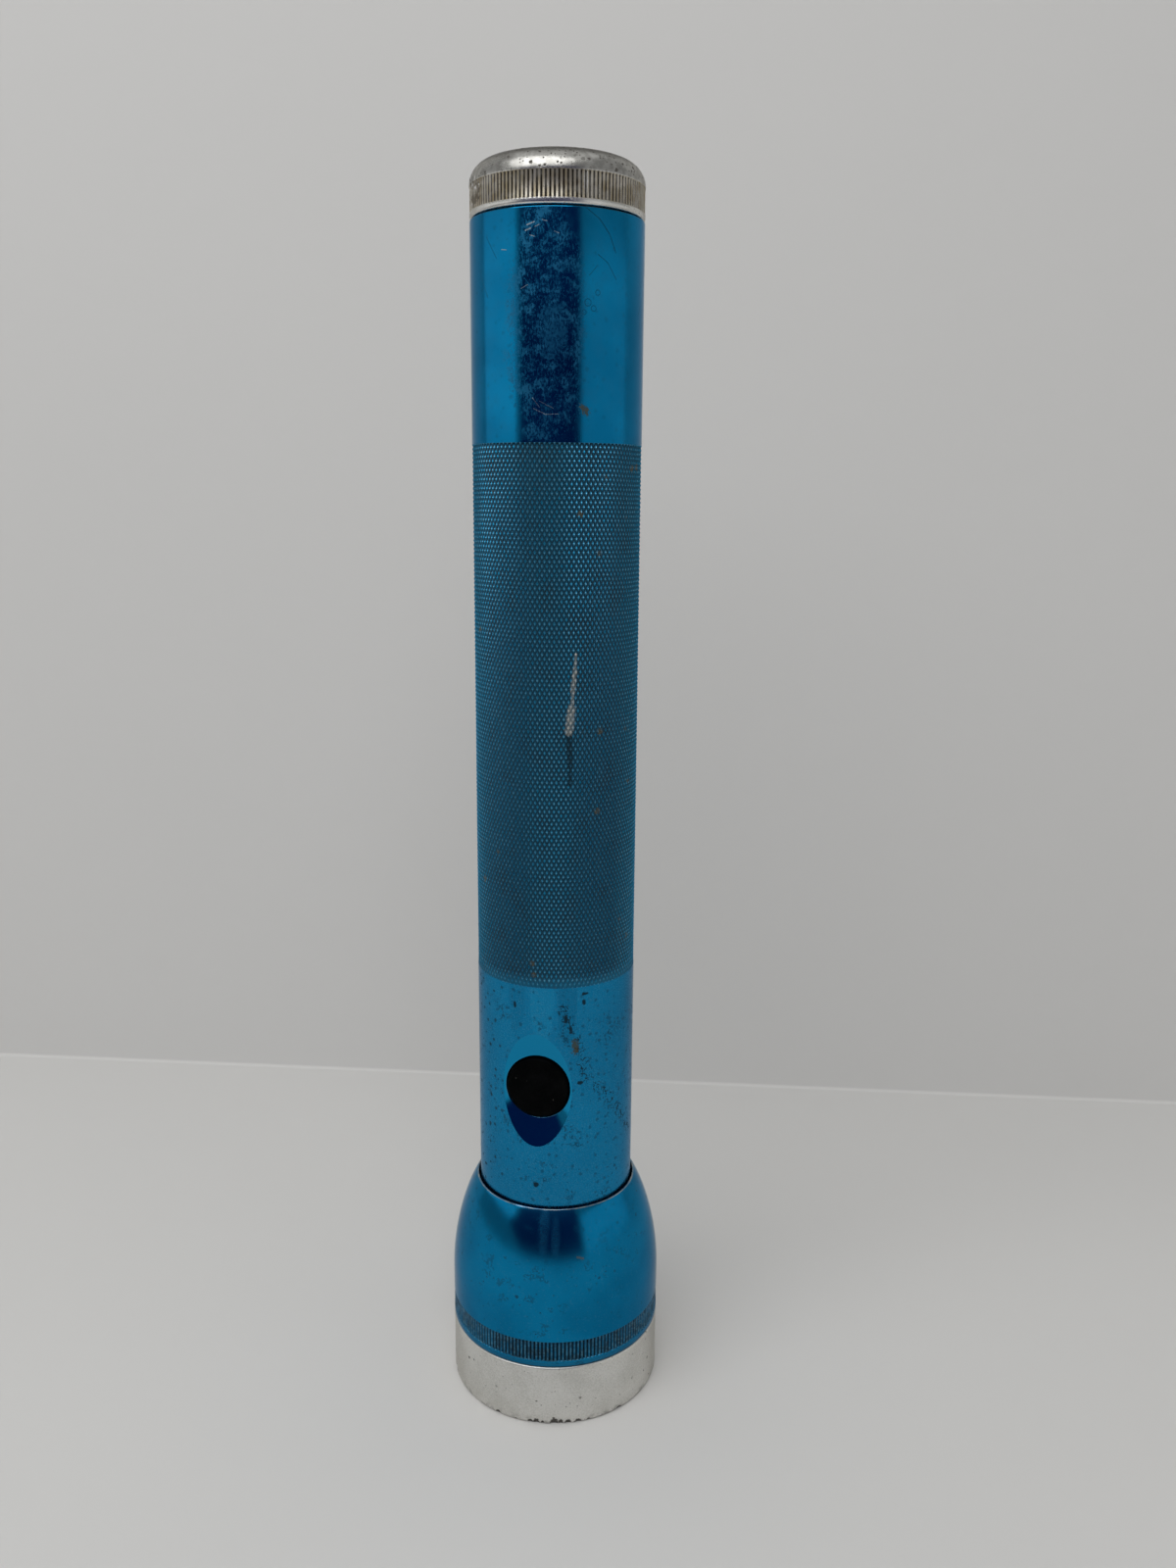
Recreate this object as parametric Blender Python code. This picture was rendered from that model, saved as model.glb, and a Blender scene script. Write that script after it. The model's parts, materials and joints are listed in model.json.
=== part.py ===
"""Three-cell machined aluminium flashlight, standing on its lens end.

Metres, +Z up from the face cap's front rim to the tail cap, push button facing -Y.
"""

import math

import bmesh
import bpy
from mathutils import Vector

for old in list(bpy.data.objects):
    bpy.data.objects.remove(old, do_unlink=True)

MM = 0.001

# Clearances shared by the pieces that fit each other
SEAT_GAP = 0.3 * MM
THREAD_GAP = 0.3 * MM
SLIDE_GAP = 0.3 * MM
SEAL_GAP = 0.15 * MM
CELL_GAP = 0.4 * MM

# Power cells and barrel
CELL_COUNT = 3
CELL_DIAMETER = 34.0 * MM
CELL_LENGTH = 61.4 * MM
CELL_NUB_DIAMETER = 9.5 * MM
CELL_NUB_HEIGHT = 1.6 * MM
CELL_EDGE = 1.2 * MM
CELL_TO_PLUG = 0.5 * MM
BARREL_WALL = 3.1 * MM
BARREL_INSERT = 7.0 * MM
BARREL_NECK_STEP = 1.5 * MM
BARREL_NECK_LENGTH = 8.0 * MM
GRIP_FROM_RIM = 62.0 * MM
GRIP_FROM_TAIL = 50.0 * MM
GRIP_DEPTH = 0.3 * MM

# Face cap, lens and seal
FACE_CAP_LENGTH = 17.1 * MM
FACE_CAP_WALL = 1.25 * MM
FACE_LIP_THICKNESS = 2.2 * MM
FACE_LIP_WIDTH = 1.8 * MM
FACE_LIP_BEVEL = 0.8 * MM
FACE_EDGE_ROUND = 0.9 * MM
LENS_THICKNESS = 2.2 * MM
LENS_EDGE = 0.3 * MM
LENS_SEAL_WIRE = 1.6 * MM

# Head
HEAD_RADIUS = 28.25 * MM
HEAD_LENGTH = 41.5 * MM
HEAD_STRAIGHT = 15.3 * MM
HEAD_NECK_WALL = 1.5 * MM
HEAD_THREAD_LENGTH = 9.5 * MM
HEAD_CAVITY_TAPER = 8.0 * MM
HEAD_RIM_WALL = 0.25 * MM
HEAD_EDGE = 0.3 * MM
BELL_SHOULDER_POWER = 1.65
BELL_RIM_POWER = 1.5
BELL_STEPS = 8
HEAD_BAND_FROM_SHOULDER = 1.65 * MM
HEAD_BAND_WIDTH = 5.65 * MM
HEAD_FLUTE_COUNT = 176
HEAD_O_RING_WIRE = 1.3 * MM
HEAD_O_RING_FROM_RIM = 3.5 * MM
HEAD_O_RING_PLAY = 1.3 * MM
HEAD_THREAD_PITCH = 1.27 * MM

# Tail cap
TAIL_CAP_LENGTH = 12.6 * MM
TAIL_SHOULDER_ROUND = 5.2 * MM
TAIL_ROOF = 3.0 * MM
TAIL_EDGE = 0.3 * MM
TAIL_PLUG_LENGTH = 12.4 * MM
TAIL_PLUG_WALL = 2.6 * MM
TAIL_BORE_STEP = 1.1 * MM
TAIL_BORE_SPARE = 1.5 * MM
TAIL_THREAD_DEPTH = 0.5 * MM
TAIL_COLLAR_LAND = 1.15 * MM
TAIL_O_RING_WIRE = 1.1 * MM
TAIL_O_RING_FROM_SEAM = 1.8 * MM
TAIL_BAND_FROM_SEAM = 1.4 * MM
TAIL_BAND_WIDTH = 5.8 * MM
TAIL_FLUTE_COUNT = 130
TAIL_SPRING_WIRE = 1.8 * MM
TAIL_SPRING_TIP_RADIUS = 6.0 * MM
TAIL_SPRING_SIDE_GAP = 0.6 * MM
TAIL_SPRING_TURNS = 3.75

# Straight flutes rolled into the head and the tail cap
FLUTE_DEPTH = 0.45 * MM
FLUTE_CREST_DROP = 0.12 * MM

# Push button switch
SWITCH_FROM_RIM = 32.6 * MM
BUTTON_RADIUS = 8.05 * MM
BUTTON_THICKNESS = 3.5 * MM
BUTTON_RAISE = 0.25 * MM
BUTTON_EDGE = 0.5 * MM
BUTTON_DISH = 0.25 * MM
BUTTON_TRAVEL = 2.0 * MM
DISH_RADIUS = 15.1 * MM
DISH_SLOPE = math.radians(15.2)
PLUNGER_RADIUS = 5.5 * MM
PLUNGER_STEM = 6.3 * MM
PLUNGER_FLANGE_WIDTH = 1.3 * MM
PLUNGER_FLANGE_THICKNESS = 2.0 * MM
SWITCH_SPRING_WIRE = 0.8 * MM
SWITCH_SPRING_RADIUS = 4.2 * MM
SWITCH_SPRING_LENGTH = 9.2 * MM
SWITCH_SPRING_TURNS = 4.0
ROTOR_THICKNESS = 3.2 * MM
ROTOR_TEETH = 8
ROTOR_TOOTH_DEPTH = 1.6 * MM
SCREW_RADIUS = 2.5 * MM
SCREW_POINT = 1.5 * MM
SCREW_SOCKET_RADIUS = 1.25 * MM
SCREW_SOCKET_DEPTH = 2.5 * MM
HOUSING_NOSE = 18.15 * MM
HOUSING_BACK_WALL = 2.15 * MM
CONTACT_STEM_RADIUS = 2.0 * MM
CONTACT_HEAD_RADIUS = 5.0 * MM
CONTACT_HEAD_THICKNESS = 1.2 * MM
SNAP_RING_THICKNESS = 1.2 * MM
SNAP_RING_WIDTH = 2.9 * MM
SNAP_RING_GROOVE = 1.0 * MM
SNAP_RING_OPENING = math.radians(30)

# Reflector, focusing cam and lamp
REFLECTOR_FLANGE = 1.2 * MM
REFLECTOR_DEPTH = 29.35 * MM
REFLECTOR_MOUTH_MARGIN = 1.2 * MM
REFLECTOR_WALL = 1.0 * MM
REFLECTOR_THROAT_RADIUS = 6.0 * MM
REFLECTOR_HUB = 1.35 * MM
REFLECTOR_STEPS = 5
CAM_RING_GAP = 1.0 * MM
CAM_WALL = 2.4 * MM
CAM_FROM_THROAT = 9.75 * MM
FOCUS_TURN = math.radians(90)
LAMP_TRAVEL = 3.0 * MM
CAM_LEAD_IN = math.radians(11.25)
FOLLOWER_PIN_RADIUS = 1.2 * MM
FOLLOWER_RING_WALL = 2.3 * MM
FOLLOWER_RING_HEIGHT = 4.6 * MM
POST_RADIUS = 6.0 * MM
POST_IN_HOUSING = 7.5 * MM
POST_SPRING_WIRE = 0.9 * MM
POST_SPRING_TURNS = 3.75
LAMP_NOSE_RADIUS = 3.6 * MM
LAMP_FLANGE_RADIUS = 4.7 * MM
LAMP_FLANGE_THICKNESS = 0.8 * MM
LAMP_PLUG_RADIUS = 4.1 * MM
LAMP_PLUG_LENGTH = 5.3 * MM
EMITTER_RADIUS = 2.2 * MM
EMITTER_BASE = 0.4 * MM
COLLAR_WALL = 1.0 * MM
COLLAR_PLATE = 1.2 * MM
COLLAR_GRIP = 2.6 * MM

# Facets round a full turn
LARGE_SIDES = 36
BOWL_SIDES = 32
SMALL_SIDES = 20
WIRE_SIDES = 6
COIL_POINTS = 8
ROUND_STEPS = 4

# Radii that follow from the cells, the barrel and the head
cell_radius = CELL_DIAMETER / 2
bore_radius = cell_radius + CELL_GAP
barrel_radius = bore_radius + BARREL_WALL
neck_radius = barrel_radius - BARREL_NECK_STEP
collar_bore = barrel_radius + THREAD_GAP
head_thread_bore = neck_radius + THREAD_GAP
face_bore = HEAD_RADIUS - FACE_CAP_WALL
head_neck_radius = face_bore - THREAD_GAP
head_cavity = head_neck_radius - HEAD_NECK_WALL
tail_bore = bore_radius + TAIL_BORE_STEP
tail_plug_radius = tail_bore - THREAD_GAP
tail_thread_root = tail_plug_radius - TAIL_THREAD_DEPTH
tail_hollow = tail_plug_radius - TAIL_PLUG_WALL
housing_radius = bore_radius - SLIDE_GAP
hole_radius = BUTTON_RADIUS + SLIDE_GAP

# Levels along the axis, from the front rim up
lens_bottom = FACE_LIP_THICKNESS + SEAT_GAP
lens_top = lens_bottom + LENS_THICKNESS
seal_middle = lens_top + SEAT_GAP + LENS_SEAL_WIRE / 2
flange_bottom = seal_middle + LENS_SEAL_WIRE / 2 + SEAT_GAP
flange_top = flange_bottom + REFLECTOR_FLANGE
head_front = flange_top + SEAT_GAP
head_shoulder = FACE_CAP_LENGTH + SEAT_GAP
head_rim = head_shoulder + HEAD_LENGTH
barrel_step = head_rim - BARREL_INSERT
barrel_front = barrel_step - BARREL_NECK_LENGTH
switch_level = head_rim + SWITCH_FROM_RIM
housing_front = switch_level - hole_radius - HOUSING_NOSE
housing_back = switch_level + hole_radius + HOUSING_BACK_WALL
snap_ring_back = housing_front - SEAT_GAP
snap_ring_front = snap_ring_back - SNAP_RING_THICKNESS
cells_front = housing_back + SEAT_GAP + CONTACT_HEAD_THICKNESS + SEAT_GAP
cells_back = cells_front + CELL_COUNT * (CELL_LENGTH + SEAT_GAP) - SEAT_GAP
plug_end = cells_back + CELL_TO_PLUG
tail_seam = plug_end + TAIL_PLUG_LENGTH
barrel_tail = tail_seam - SEAT_GAP
tail_top = tail_seam + TAIL_CAP_LENGTH

# Levels on the switch axis, from the barrel's axis out towards the button
dish_floor = barrel_radius - (DISH_RADIUS - hole_radius) * math.tan(DISH_SLOPE)
button_top = dish_floor + BUTTON_RAISE
button_bottom = button_top - BUTTON_THICKNESS
recess_floor = button_bottom - BUTTON_TRAVEL - SEAT_GAP
plunger_top = button_bottom - SEAT_GAP
flange_outer = plunger_top - PLUNGER_STEM
flange_inner = flange_outer - PLUNGER_FLANGE_THICKNESS
plunger_flange_radius = PLUNGER_RADIUS + PLUNGER_FLANGE_WIDTH
cavity_radius = plunger_flange_radius + SLIDE_GAP
spring_outer = flange_inner - SEAT_GAP
spring_inner = spring_outer - SWITCH_SPRING_LENGTH
rotor_top = spring_inner - SEAT_GAP
rotor_bottom = rotor_top - ROTOR_THICKNESS
cavity_floor = rotor_bottom - SEAT_GAP

# Reflector bowl and focusing cam
mouth_radius = head_cavity - REFLECTOR_MOUTH_MARGIN
bowl_focus = (mouth_radius**2 - REFLECTOR_THROAT_RADIUS**2) / (4 * REFLECTOR_DEPTH)
bowl_vertex = flange_bottom + mouth_radius**2 / (4 * bowl_focus)
focus_level = bowl_vertex - bowl_focus
throat_level = flange_bottom + REFLECTOR_DEPTH
follower_bore = POST_RADIUS + SEAT_GAP
follower_radius = follower_bore + FOLLOWER_RING_WALL
cam_inner_radius = follower_radius + CAM_RING_GAP
cam_outer_radius = cam_inner_radius + CAM_WALL
cam_low = throat_level + CAM_FROM_THROAT
head_lead = HEAD_THREAD_PITCH / (2 * math.pi)
focus_lead = LAMP_TRAVEL / FOCUS_TURN
cam_lead = focus_lead + head_lead
cam_span = FOCUS_TURN + 2 * CAM_LEAD_IN
cam_slope = math.atan(cam_lead / cam_inner_radius)
pin_level = cam_low + cam_lead * CAM_LEAD_IN + (FOLLOWER_PIN_RADIUS + SEAT_GAP) / math.cos(cam_slope)
follower_front = pin_level - FOLLOWER_RING_HEIGHT / 2
follower_back = pin_level + FOLLOWER_RING_HEIGHT / 2

# Lamp in front of the follower
collar_back = follower_front - SEAT_GAP
post_front = collar_back - COLLAR_GRIP
post_back = housing_front + POST_IN_HOUSING
lamp_flange_back = post_front - SEAT_GAP
lamp_flange_front = lamp_flange_back - LAMP_FLANGE_THICKNESS
collar_plate_back = lamp_flange_front - SEAT_GAP
collar_front = collar_plate_back - COLLAR_PLATE
emitter_back = focus_level + EMITTER_BASE
lamp_nose_front = emitter_back + SEAT_GAP
post_bore = LAMP_PLUG_RADIUS + SEAT_GAP

# Finishes: colour, roughness, metallic
BLUE_ANODISED = ((0.012, 0.215, 0.43), 0.26, 1.0)
BARE_ALUMINIUM = ((0.62, 0.61, 0.58), 0.34, 1.0)
BLACK_RUBBER = ((0.012, 0.011, 0.011), 0.6, 0.0)
CLEAR_PLASTIC = ((0.86, 0.9, 0.92), 0.05, 0.0)
BRIGHT_PLATING = ((0.86, 0.86, 0.85), 0.06, 1.0)
SPRING_STEEL = ((0.55, 0.55, 0.56), 0.3, 1.0)
BLACK_PLASTIC = ((0.03, 0.03, 0.032), 0.45, 0.0)
GREY_PLASTIC = ((0.33, 0.34, 0.35), 0.4, 0.0)
BRASS = ((0.72, 0.5, 0.2), 0.28, 1.0)
BLACK_OXIDE = ((0.05, 0.05, 0.055), 0.35, 1.0)
CELL_SLEEVE = ((0.1, 0.11, 0.13), 0.38, 0.0)
EMITTER_YELLOW = ((0.85, 0.72, 0.25), 0.15, 0.0)


def add_object(name, data, finish, parent=None):
    """Links an object with its own material and hangs it on its parent."""
    colour, roughness, metallic = finish
    material = bpy.data.materials.new(name)
    material.use_nodes = True
    shader = material.node_tree.nodes["Principled BSDF"]
    shader.inputs["Base Color"].default_value = (*colour, 1.0)
    shader.inputs["Roughness"].default_value = roughness
    shader.inputs["Metallic"].default_value = metallic
    data.materials.append(material)
    obj = bpy.data.objects.new(name, data)
    bpy.context.scene.collection.objects.link(obj)
    obj.parent = parent
    return obj


def finish_mesh(name, bm):
    """Turns a bmesh into a closed, outward facing, smooth shaded mesh."""
    bmesh.ops.remove_doubles(bm, verts=bm.verts, dist=1e-7)
    bmesh.ops.recalc_face_normals(bm, faces=bm.faces)
    mesh = bpy.data.meshes.new(name)
    bm.to_mesh(mesh)
    bm.free()
    mesh.shade_smooth()
    mesh.set_sharp_from_angle(angle=math.radians(30))
    return mesh


def turned_bmesh(outline, sides):
    """Spins an outline of (radius, height) about Z; one that meets the axis at both ends is a solid."""
    bm = bmesh.new()
    points = [bm.verts.new((radius, 0, height)) for radius, height in outline]
    edges = [bm.edges.new(pair) for pair in zip(points, points[1:])]
    solid = outline[0][0] == 0 and outline[-1][0] == 0
    if not solid:
        edges.append(bm.edges.new((points[-1], points[0])))
    bmesh.ops.spin(
        bm,
        geom=points + edges,
        cent=(0, 0, 0),
        axis=(0, 0, 1),
        angle=2 * math.pi,
        steps=sides,
        use_merge=True,
    )
    return bm


def turned(name, outline, finish, sides=LARGE_SIDES, parent=None):
    return add_object(name, finish_mesh(name, turned_bmesh(outline, sides)), finish, parent)


def extruded(name, outline, bottom, top, finish, parent=None):
    """A flat outline of (x, y) drawn up from bottom to top."""
    bm = bmesh.new()
    face = bm.faces.new([bm.verts.new((x, y, bottom)) for x, y in outline])
    drawn = bmesh.ops.extrude_face_region(bm, geom=[face])
    raised = [item for item in drawn["geom"] if isinstance(item, bmesh.types.BMVert)]
    bmesh.ops.translate(bm, verts=raised, vec=(0, 0, top - bottom))
    return add_object(name, finish_mesh(name, bm), finish, parent)


def as_cutter(obj):
    obj.hide_render = True
    obj.display_type = "WIRE"
    return obj


def combine(obj, other, operation):
    modifier = obj.modifiers.new(other.name, "BOOLEAN")
    modifier.operation = operation
    modifier.solver = "EXACT"
    modifier.object = other


def rounded(centre_radius, centre_height, radius, start, end):
    """Outline points on a quarter round, between two angles in degrees."""
    angles = [math.radians(start + (end - start) * i / ROUND_STEPS) for i in range(ROUND_STEPS + 1)]
    return [(centre_radius + radius * math.cos(a), centre_height + radius * math.sin(a)) for a in angles]


def seal_ring(name, ring_radius, wire, level):
    """An O-ring with its section centred at the ring's radius and level."""
    turns = [2 * math.pi * i / WIRE_SIDES for i in range(WIRE_SIDES)]
    section = [(ring_radius + wire / 2 * math.cos(a), level + wire / 2 * math.sin(a)) for a in turns]
    return turned(name, section, BLACK_RUBBER)


def coil(name, radii, levels, wire, turns, finish, parent=None):
    """A wire spring as one tube, from the first radius and level to the last, and its own least gap."""
    count = int(turns * COIL_POINTS) + 1
    points = []
    for i in range(count):
        share = i / (count - 1)
        angle = 2 * math.pi * turns * share
        radius = radii[0] + (radii[1] - radii[0]) * share
        level = levels[0] + (levels[1] - levels[0]) * share
        points.append(Vector((radius * math.cos(angle), radius * math.sin(angle), level)))
    half_turn = COIL_POINTS // 2
    gaps = [(a - b).length for i, a in enumerate(points) for b in points[i + half_turn :]]
    print(f"{name}: least gap to itself {(min(gaps) - wire) / MM:.2f} mm")
    curve = bpy.data.curves.new(name, "CURVE")
    curve.dimensions = "3D"
    curve.bevel_depth = wire / 2
    curve.bevel_resolution = 1
    curve.use_fill_caps = True
    spline = curve.splines.new("POLY")
    spline.points.add(count - 1)
    for spot, point in zip(spline.points, points):
        spot.co = (*point, 1)
    return add_object(name, curve, finish, parent)


def flute(obj, radius, count, bottom, top):
    """Cuts a band of straight V flutes round a turned piece, with crests just under its surface."""
    bm = bmesh.new()
    rims = []
    for level in (bottom, top):
        inner, outer = [], []
        for i in range(2 * count):
            angle = math.pi * i / count
            depth = radius - (FLUTE_DEPTH if i % 2 else FLUTE_CREST_DROP)
            away = radius + FLUTE_DEPTH
            inner.append(bm.verts.new((depth * math.cos(angle), depth * math.sin(angle), level)))
            outer.append(bm.verts.new((away * math.cos(angle), away * math.sin(angle), level)))
        rims.append((inner, outer))
    (low_in, low_out), (high_in, high_out) = rims
    for i in range(2 * count):
        j = (i + 1) % (2 * count)
        bm.faces.new((low_in[i], low_in[j], high_in[j], high_in[i]))
        bm.faces.new((low_out[i], low_out[j], high_out[j], high_out[i]))
        bm.faces.new((low_in[i], low_in[j], low_out[j], low_out[i]))
        bm.faces.new((high_in[i], high_in[j], high_out[j], high_out[i]))
    name = obj.name + "_flutes"
    tool = as_cutter(add_object(name, finish_mesh(name, bm), BARE_ALUMINIUM))
    combine(obj, tool, "DIFFERENCE")


def make_face_cap():
    opening = face_bore - FACE_LIP_WIDTH
    edge = HEAD_RADIUS - FACE_EDGE_ROUND
    outline = [(opening, FACE_LIP_THICKNESS), (opening, FACE_LIP_BEVEL), (opening + FACE_LIP_BEVEL, 0)]
    outline += rounded(edge, FACE_EDGE_ROUND, FACE_EDGE_ROUND, -90, 0)
    outline += [
        (HEAD_RADIUS, FACE_CAP_LENGTH - HEAD_EDGE),
        (HEAD_RADIUS - HEAD_EDGE, FACE_CAP_LENGTH),
        (face_bore, FACE_CAP_LENGTH),
        (face_bore, FACE_LIP_THICKNESS),
    ]
    turned("face_cap", outline, BARE_ALUMINIUM)


def make_lens():
    radius = face_bore - THREAD_GAP
    outline = [
        (0, lens_bottom),
        (radius - LENS_EDGE, lens_bottom),
        (radius, lens_bottom + LENS_EDGE),
        (radius, lens_top - LENS_EDGE),
        (radius - LENS_EDGE, lens_top),
        (0, lens_top),
    ]
    turned("lens", outline, CLEAR_PLASTIC)
    seal_ring("lens_seal", radius - LENS_SEAL_WIRE / 2, LENS_SEAL_WIRE, seal_middle)


def make_head():
    straight_top = head_shoulder + HEAD_STRAIGHT
    rim_radius = collar_bore + HEAD_RIM_WALL
    bell = []
    for i in range(BELL_STEPS):
        share = math.sin(math.pi / 2 * i / BELL_STEPS)
        drop = (1 - share**BELL_SHOULDER_POWER) ** (1 / BELL_RIM_POWER)
        level = straight_top + (head_rim - straight_top) * share
        bell.append((rim_radius + (HEAD_RADIUS - rim_radius) * drop, level))
    thread_top = barrel_step - SEAT_GAP
    thread_bottom = thread_top - HEAD_THREAD_LENGTH
    outline = [
        (head_cavity, head_front),
        (head_neck_radius, head_front),
        (head_neck_radius, head_shoulder),
        (HEAD_RADIUS - HEAD_EDGE, head_shoulder),
        (HEAD_RADIUS, head_shoulder + HEAD_EDGE),
        *bell,
        (rim_radius, head_rim),
        (collar_bore, head_rim),
        (collar_bore, thread_top),
        (head_thread_bore, thread_top),
        (head_thread_bore, thread_bottom),
        (head_cavity, thread_bottom - HEAD_CAVITY_TAPER),
    ]
    head = turned("head", outline, BLUE_ANODISED)
    band = head_shoulder + HEAD_BAND_FROM_SHOULDER
    flute(head, HEAD_RADIUS, HEAD_FLUTE_COUNT, band, band + HEAD_BAND_WIDTH)


def bowl_level(radius):
    return bowl_vertex - radius**2 / (4 * bowl_focus)


def cam_rise(angle):
    """Height of the cam's end face above its low point: two ramps, each with a return slope."""
    along = (angle + CAM_LEAD_IN) % math.pi
    if along <= cam_span:
        return cam_lead * along
    return cam_lead * cam_span * (math.pi - along) / (math.pi - cam_span)


def make_reflector():
    flange_radius = head_neck_radius - SEAT_GAP
    hub_back = throat_level + REFLECTOR_HUB
    inner_end = math.sqrt((bowl_vertex - flange_top) * 4 * bowl_focus)
    skirt_start = cam_outer_radius - REFLECTOR_WALL
    outline = []
    for i in range(REFLECTOR_STEPS + 1):
        radius = mouth_radius + (REFLECTOR_THROAT_RADIUS - mouth_radius) * i / REFLECTOR_STEPS
        outline.append((radius, bowl_level(radius)))
    outline += [
        (REFLECTOR_THROAT_RADIUS, hub_back),
        (cam_inner_radius, hub_back),
        (cam_inner_radius, cam_low),
        (cam_outer_radius, cam_low),
    ]
    for i in range(REFLECTOR_STEPS):
        radius = skirt_start + (inner_end - skirt_start) * i / (REFLECTOR_STEPS - 1)
        outline.append((radius + REFLECTOR_WALL, bowl_level(radius)))
    outline += [(flange_radius, flange_top), (flange_radius, flange_bottom)]
    bm = turned_bmesh(outline, BOWL_SIDES)
    for vert in bm.verts:
        if abs(vert.co.z - cam_low) < SEAT_GAP / 10:
            vert.co.z += cam_rise(math.atan2(vert.co.y, vert.co.x))
    add_object("reflector", finish_mesh("reflector", bm), BRIGHT_PLATING)


def make_barrel(switch_axis):
    groove_middle = head_rim - HEAD_O_RING_FROM_RIM
    groove_half = (HEAD_O_RING_WIRE + HEAD_O_RING_PLAY) / 2
    seal_radius = collar_bore - SEAL_GAP - HEAD_O_RING_WIRE / 2
    groove_floor = seal_radius - HEAD_O_RING_WIRE / 2 - SEAL_GAP
    grip_bottom = head_rim + GRIP_FROM_RIM
    grip_top = barrel_tail - GRIP_FROM_TAIL
    grip_radius = barrel_radius - GRIP_DEPTH
    bore_top = plug_end - TAIL_BORE_SPARE
    ring_back = snap_ring_back + SEAL_GAP
    ring_front = snap_ring_front - SEAL_GAP
    outline = [
        (bore_radius, barrel_front),
        (neck_radius, barrel_front),
        (neck_radius, barrel_step),
        (barrel_radius, barrel_step),
        (barrel_radius, groove_middle - groove_half),
        (groove_floor, groove_middle - groove_half),
        (groove_floor, groove_middle + groove_half),
        (barrel_radius, groove_middle + groove_half),
        (barrel_radius, grip_bottom),
        (grip_radius, grip_bottom + GRIP_DEPTH),
        (grip_radius, grip_top - GRIP_DEPTH),
        (barrel_radius, grip_top),
        (barrel_radius, barrel_tail),
        (tail_bore, barrel_tail),
        (tail_bore, bore_top),
        (bore_radius, bore_top),
        (bore_radius, ring_back),
        (bore_radius + SNAP_RING_GROOVE, ring_back),
        (bore_radius + SNAP_RING_GROOVE, ring_front),
        (bore_radius, ring_front),
    ]
    barrel = turned("barrel", outline, BLUE_ANODISED)
    seal_ring("head_o_ring", seal_radius, HEAD_O_RING_WIRE, groove_middle)
    beyond = DISH_RADIUS + (DISH_RADIUS - hole_radius)
    beyond_level = dish_floor + (beyond - hole_radius) * math.tan(DISH_SLOPE)
    dish = [
        (0, recess_floor),
        (hole_radius, recess_floor),
        (hole_radius, dish_floor),
        (beyond, beyond_level),
        (0, beyond_level),
    ]
    combine(barrel, as_cutter(turned("button_dish", dish, BLUE_ANODISED, parent=switch_axis)), "DIFFERENCE")


def make_snap_ring():
    outer = bore_radius + SNAP_RING_GROOVE - SEAT_GAP
    inner = outer - SNAP_RING_WIDTH
    start = SNAP_RING_OPENING / 2
    span = 2 * math.pi - SNAP_RING_OPENING
    angles = [start + span * i / SMALL_SIDES for i in range(SMALL_SIDES + 1)]
    outline = [(outer * math.cos(a), outer * math.sin(a)) for a in angles]
    outline += [(inner * math.cos(a), inner * math.sin(a)) for a in reversed(angles)]
    extruded("snap_ring", outline, snap_ring_front, snap_ring_back, SPRING_STEEL)


def make_switch_housing(switch_axis):
    """Two half shells, split across the button's axis, hollowed for the switch, the post and the contact."""
    outside = housing_radius + SEAT_GAP
    hollow = [
        (0, outside),
        (hole_radius, outside),
        (hole_radius, recess_floor),
        (PLUNGER_RADIUS + SLIDE_GAP, recess_floor),
        (PLUNGER_RADIUS + SLIDE_GAP, flange_outer + SEAT_GAP),
        (cavity_radius, flange_outer + SEAT_GAP),
        (cavity_radius, cavity_floor),
        (SCREW_RADIUS + SLIDE_GAP, cavity_floor),
        (SCREW_RADIUS + SLIDE_GAP, -outside),
        (0, -outside),
    ]
    post_hole = [
        (0, housing_front - SEAT_GAP),
        (POST_RADIUS + SLIDE_GAP, housing_front - SEAT_GAP),
        (POST_RADIUS + SLIDE_GAP, post_back + LAMP_TRAVEL + SEAT_GAP),
        (0, post_back + LAMP_TRAVEL + SEAT_GAP),
    ]
    contact_hole = [
        (0, switch_level),
        (CONTACT_STEM_RADIUS + SLIDE_GAP, switch_level),
        (CONTACT_STEM_RADIUS + SLIDE_GAP, housing_back + SEAT_GAP),
        (0, housing_back + SEAT_GAP),
    ]
    tools = [
        as_cutter(turned("switch_hollow", hollow, BLACK_PLASTIC, SMALL_SIDES, switch_axis)),
        as_cutter(turned("post_hole", post_hole, BLACK_PLASTIC, SMALL_SIDES)),
        as_cutter(turned("contact_hole", contact_hole, BLACK_PLASTIC, SMALL_SIDES)),
    ]
    half_gap = SEAT_GAP / 2
    chord = math.sqrt(housing_radius**2 - half_gap**2)
    sweep = math.atan2(half_gap, chord)
    for name, side in (("switch_housing_upper", -1), ("switch_housing_lower", 1)):
        angles = [sweep + (math.pi - 2 * sweep) * i / SMALL_SIDES for i in range(SMALL_SIDES + 1)]
        outline = [(housing_radius * math.cos(a), side * housing_radius * math.sin(a)) for a in angles]
        half = extruded(name, outline, housing_front, housing_back, BLACK_PLASTIC)
        for tool in tools:
            combine(half, tool, "DIFFERENCE")


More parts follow.
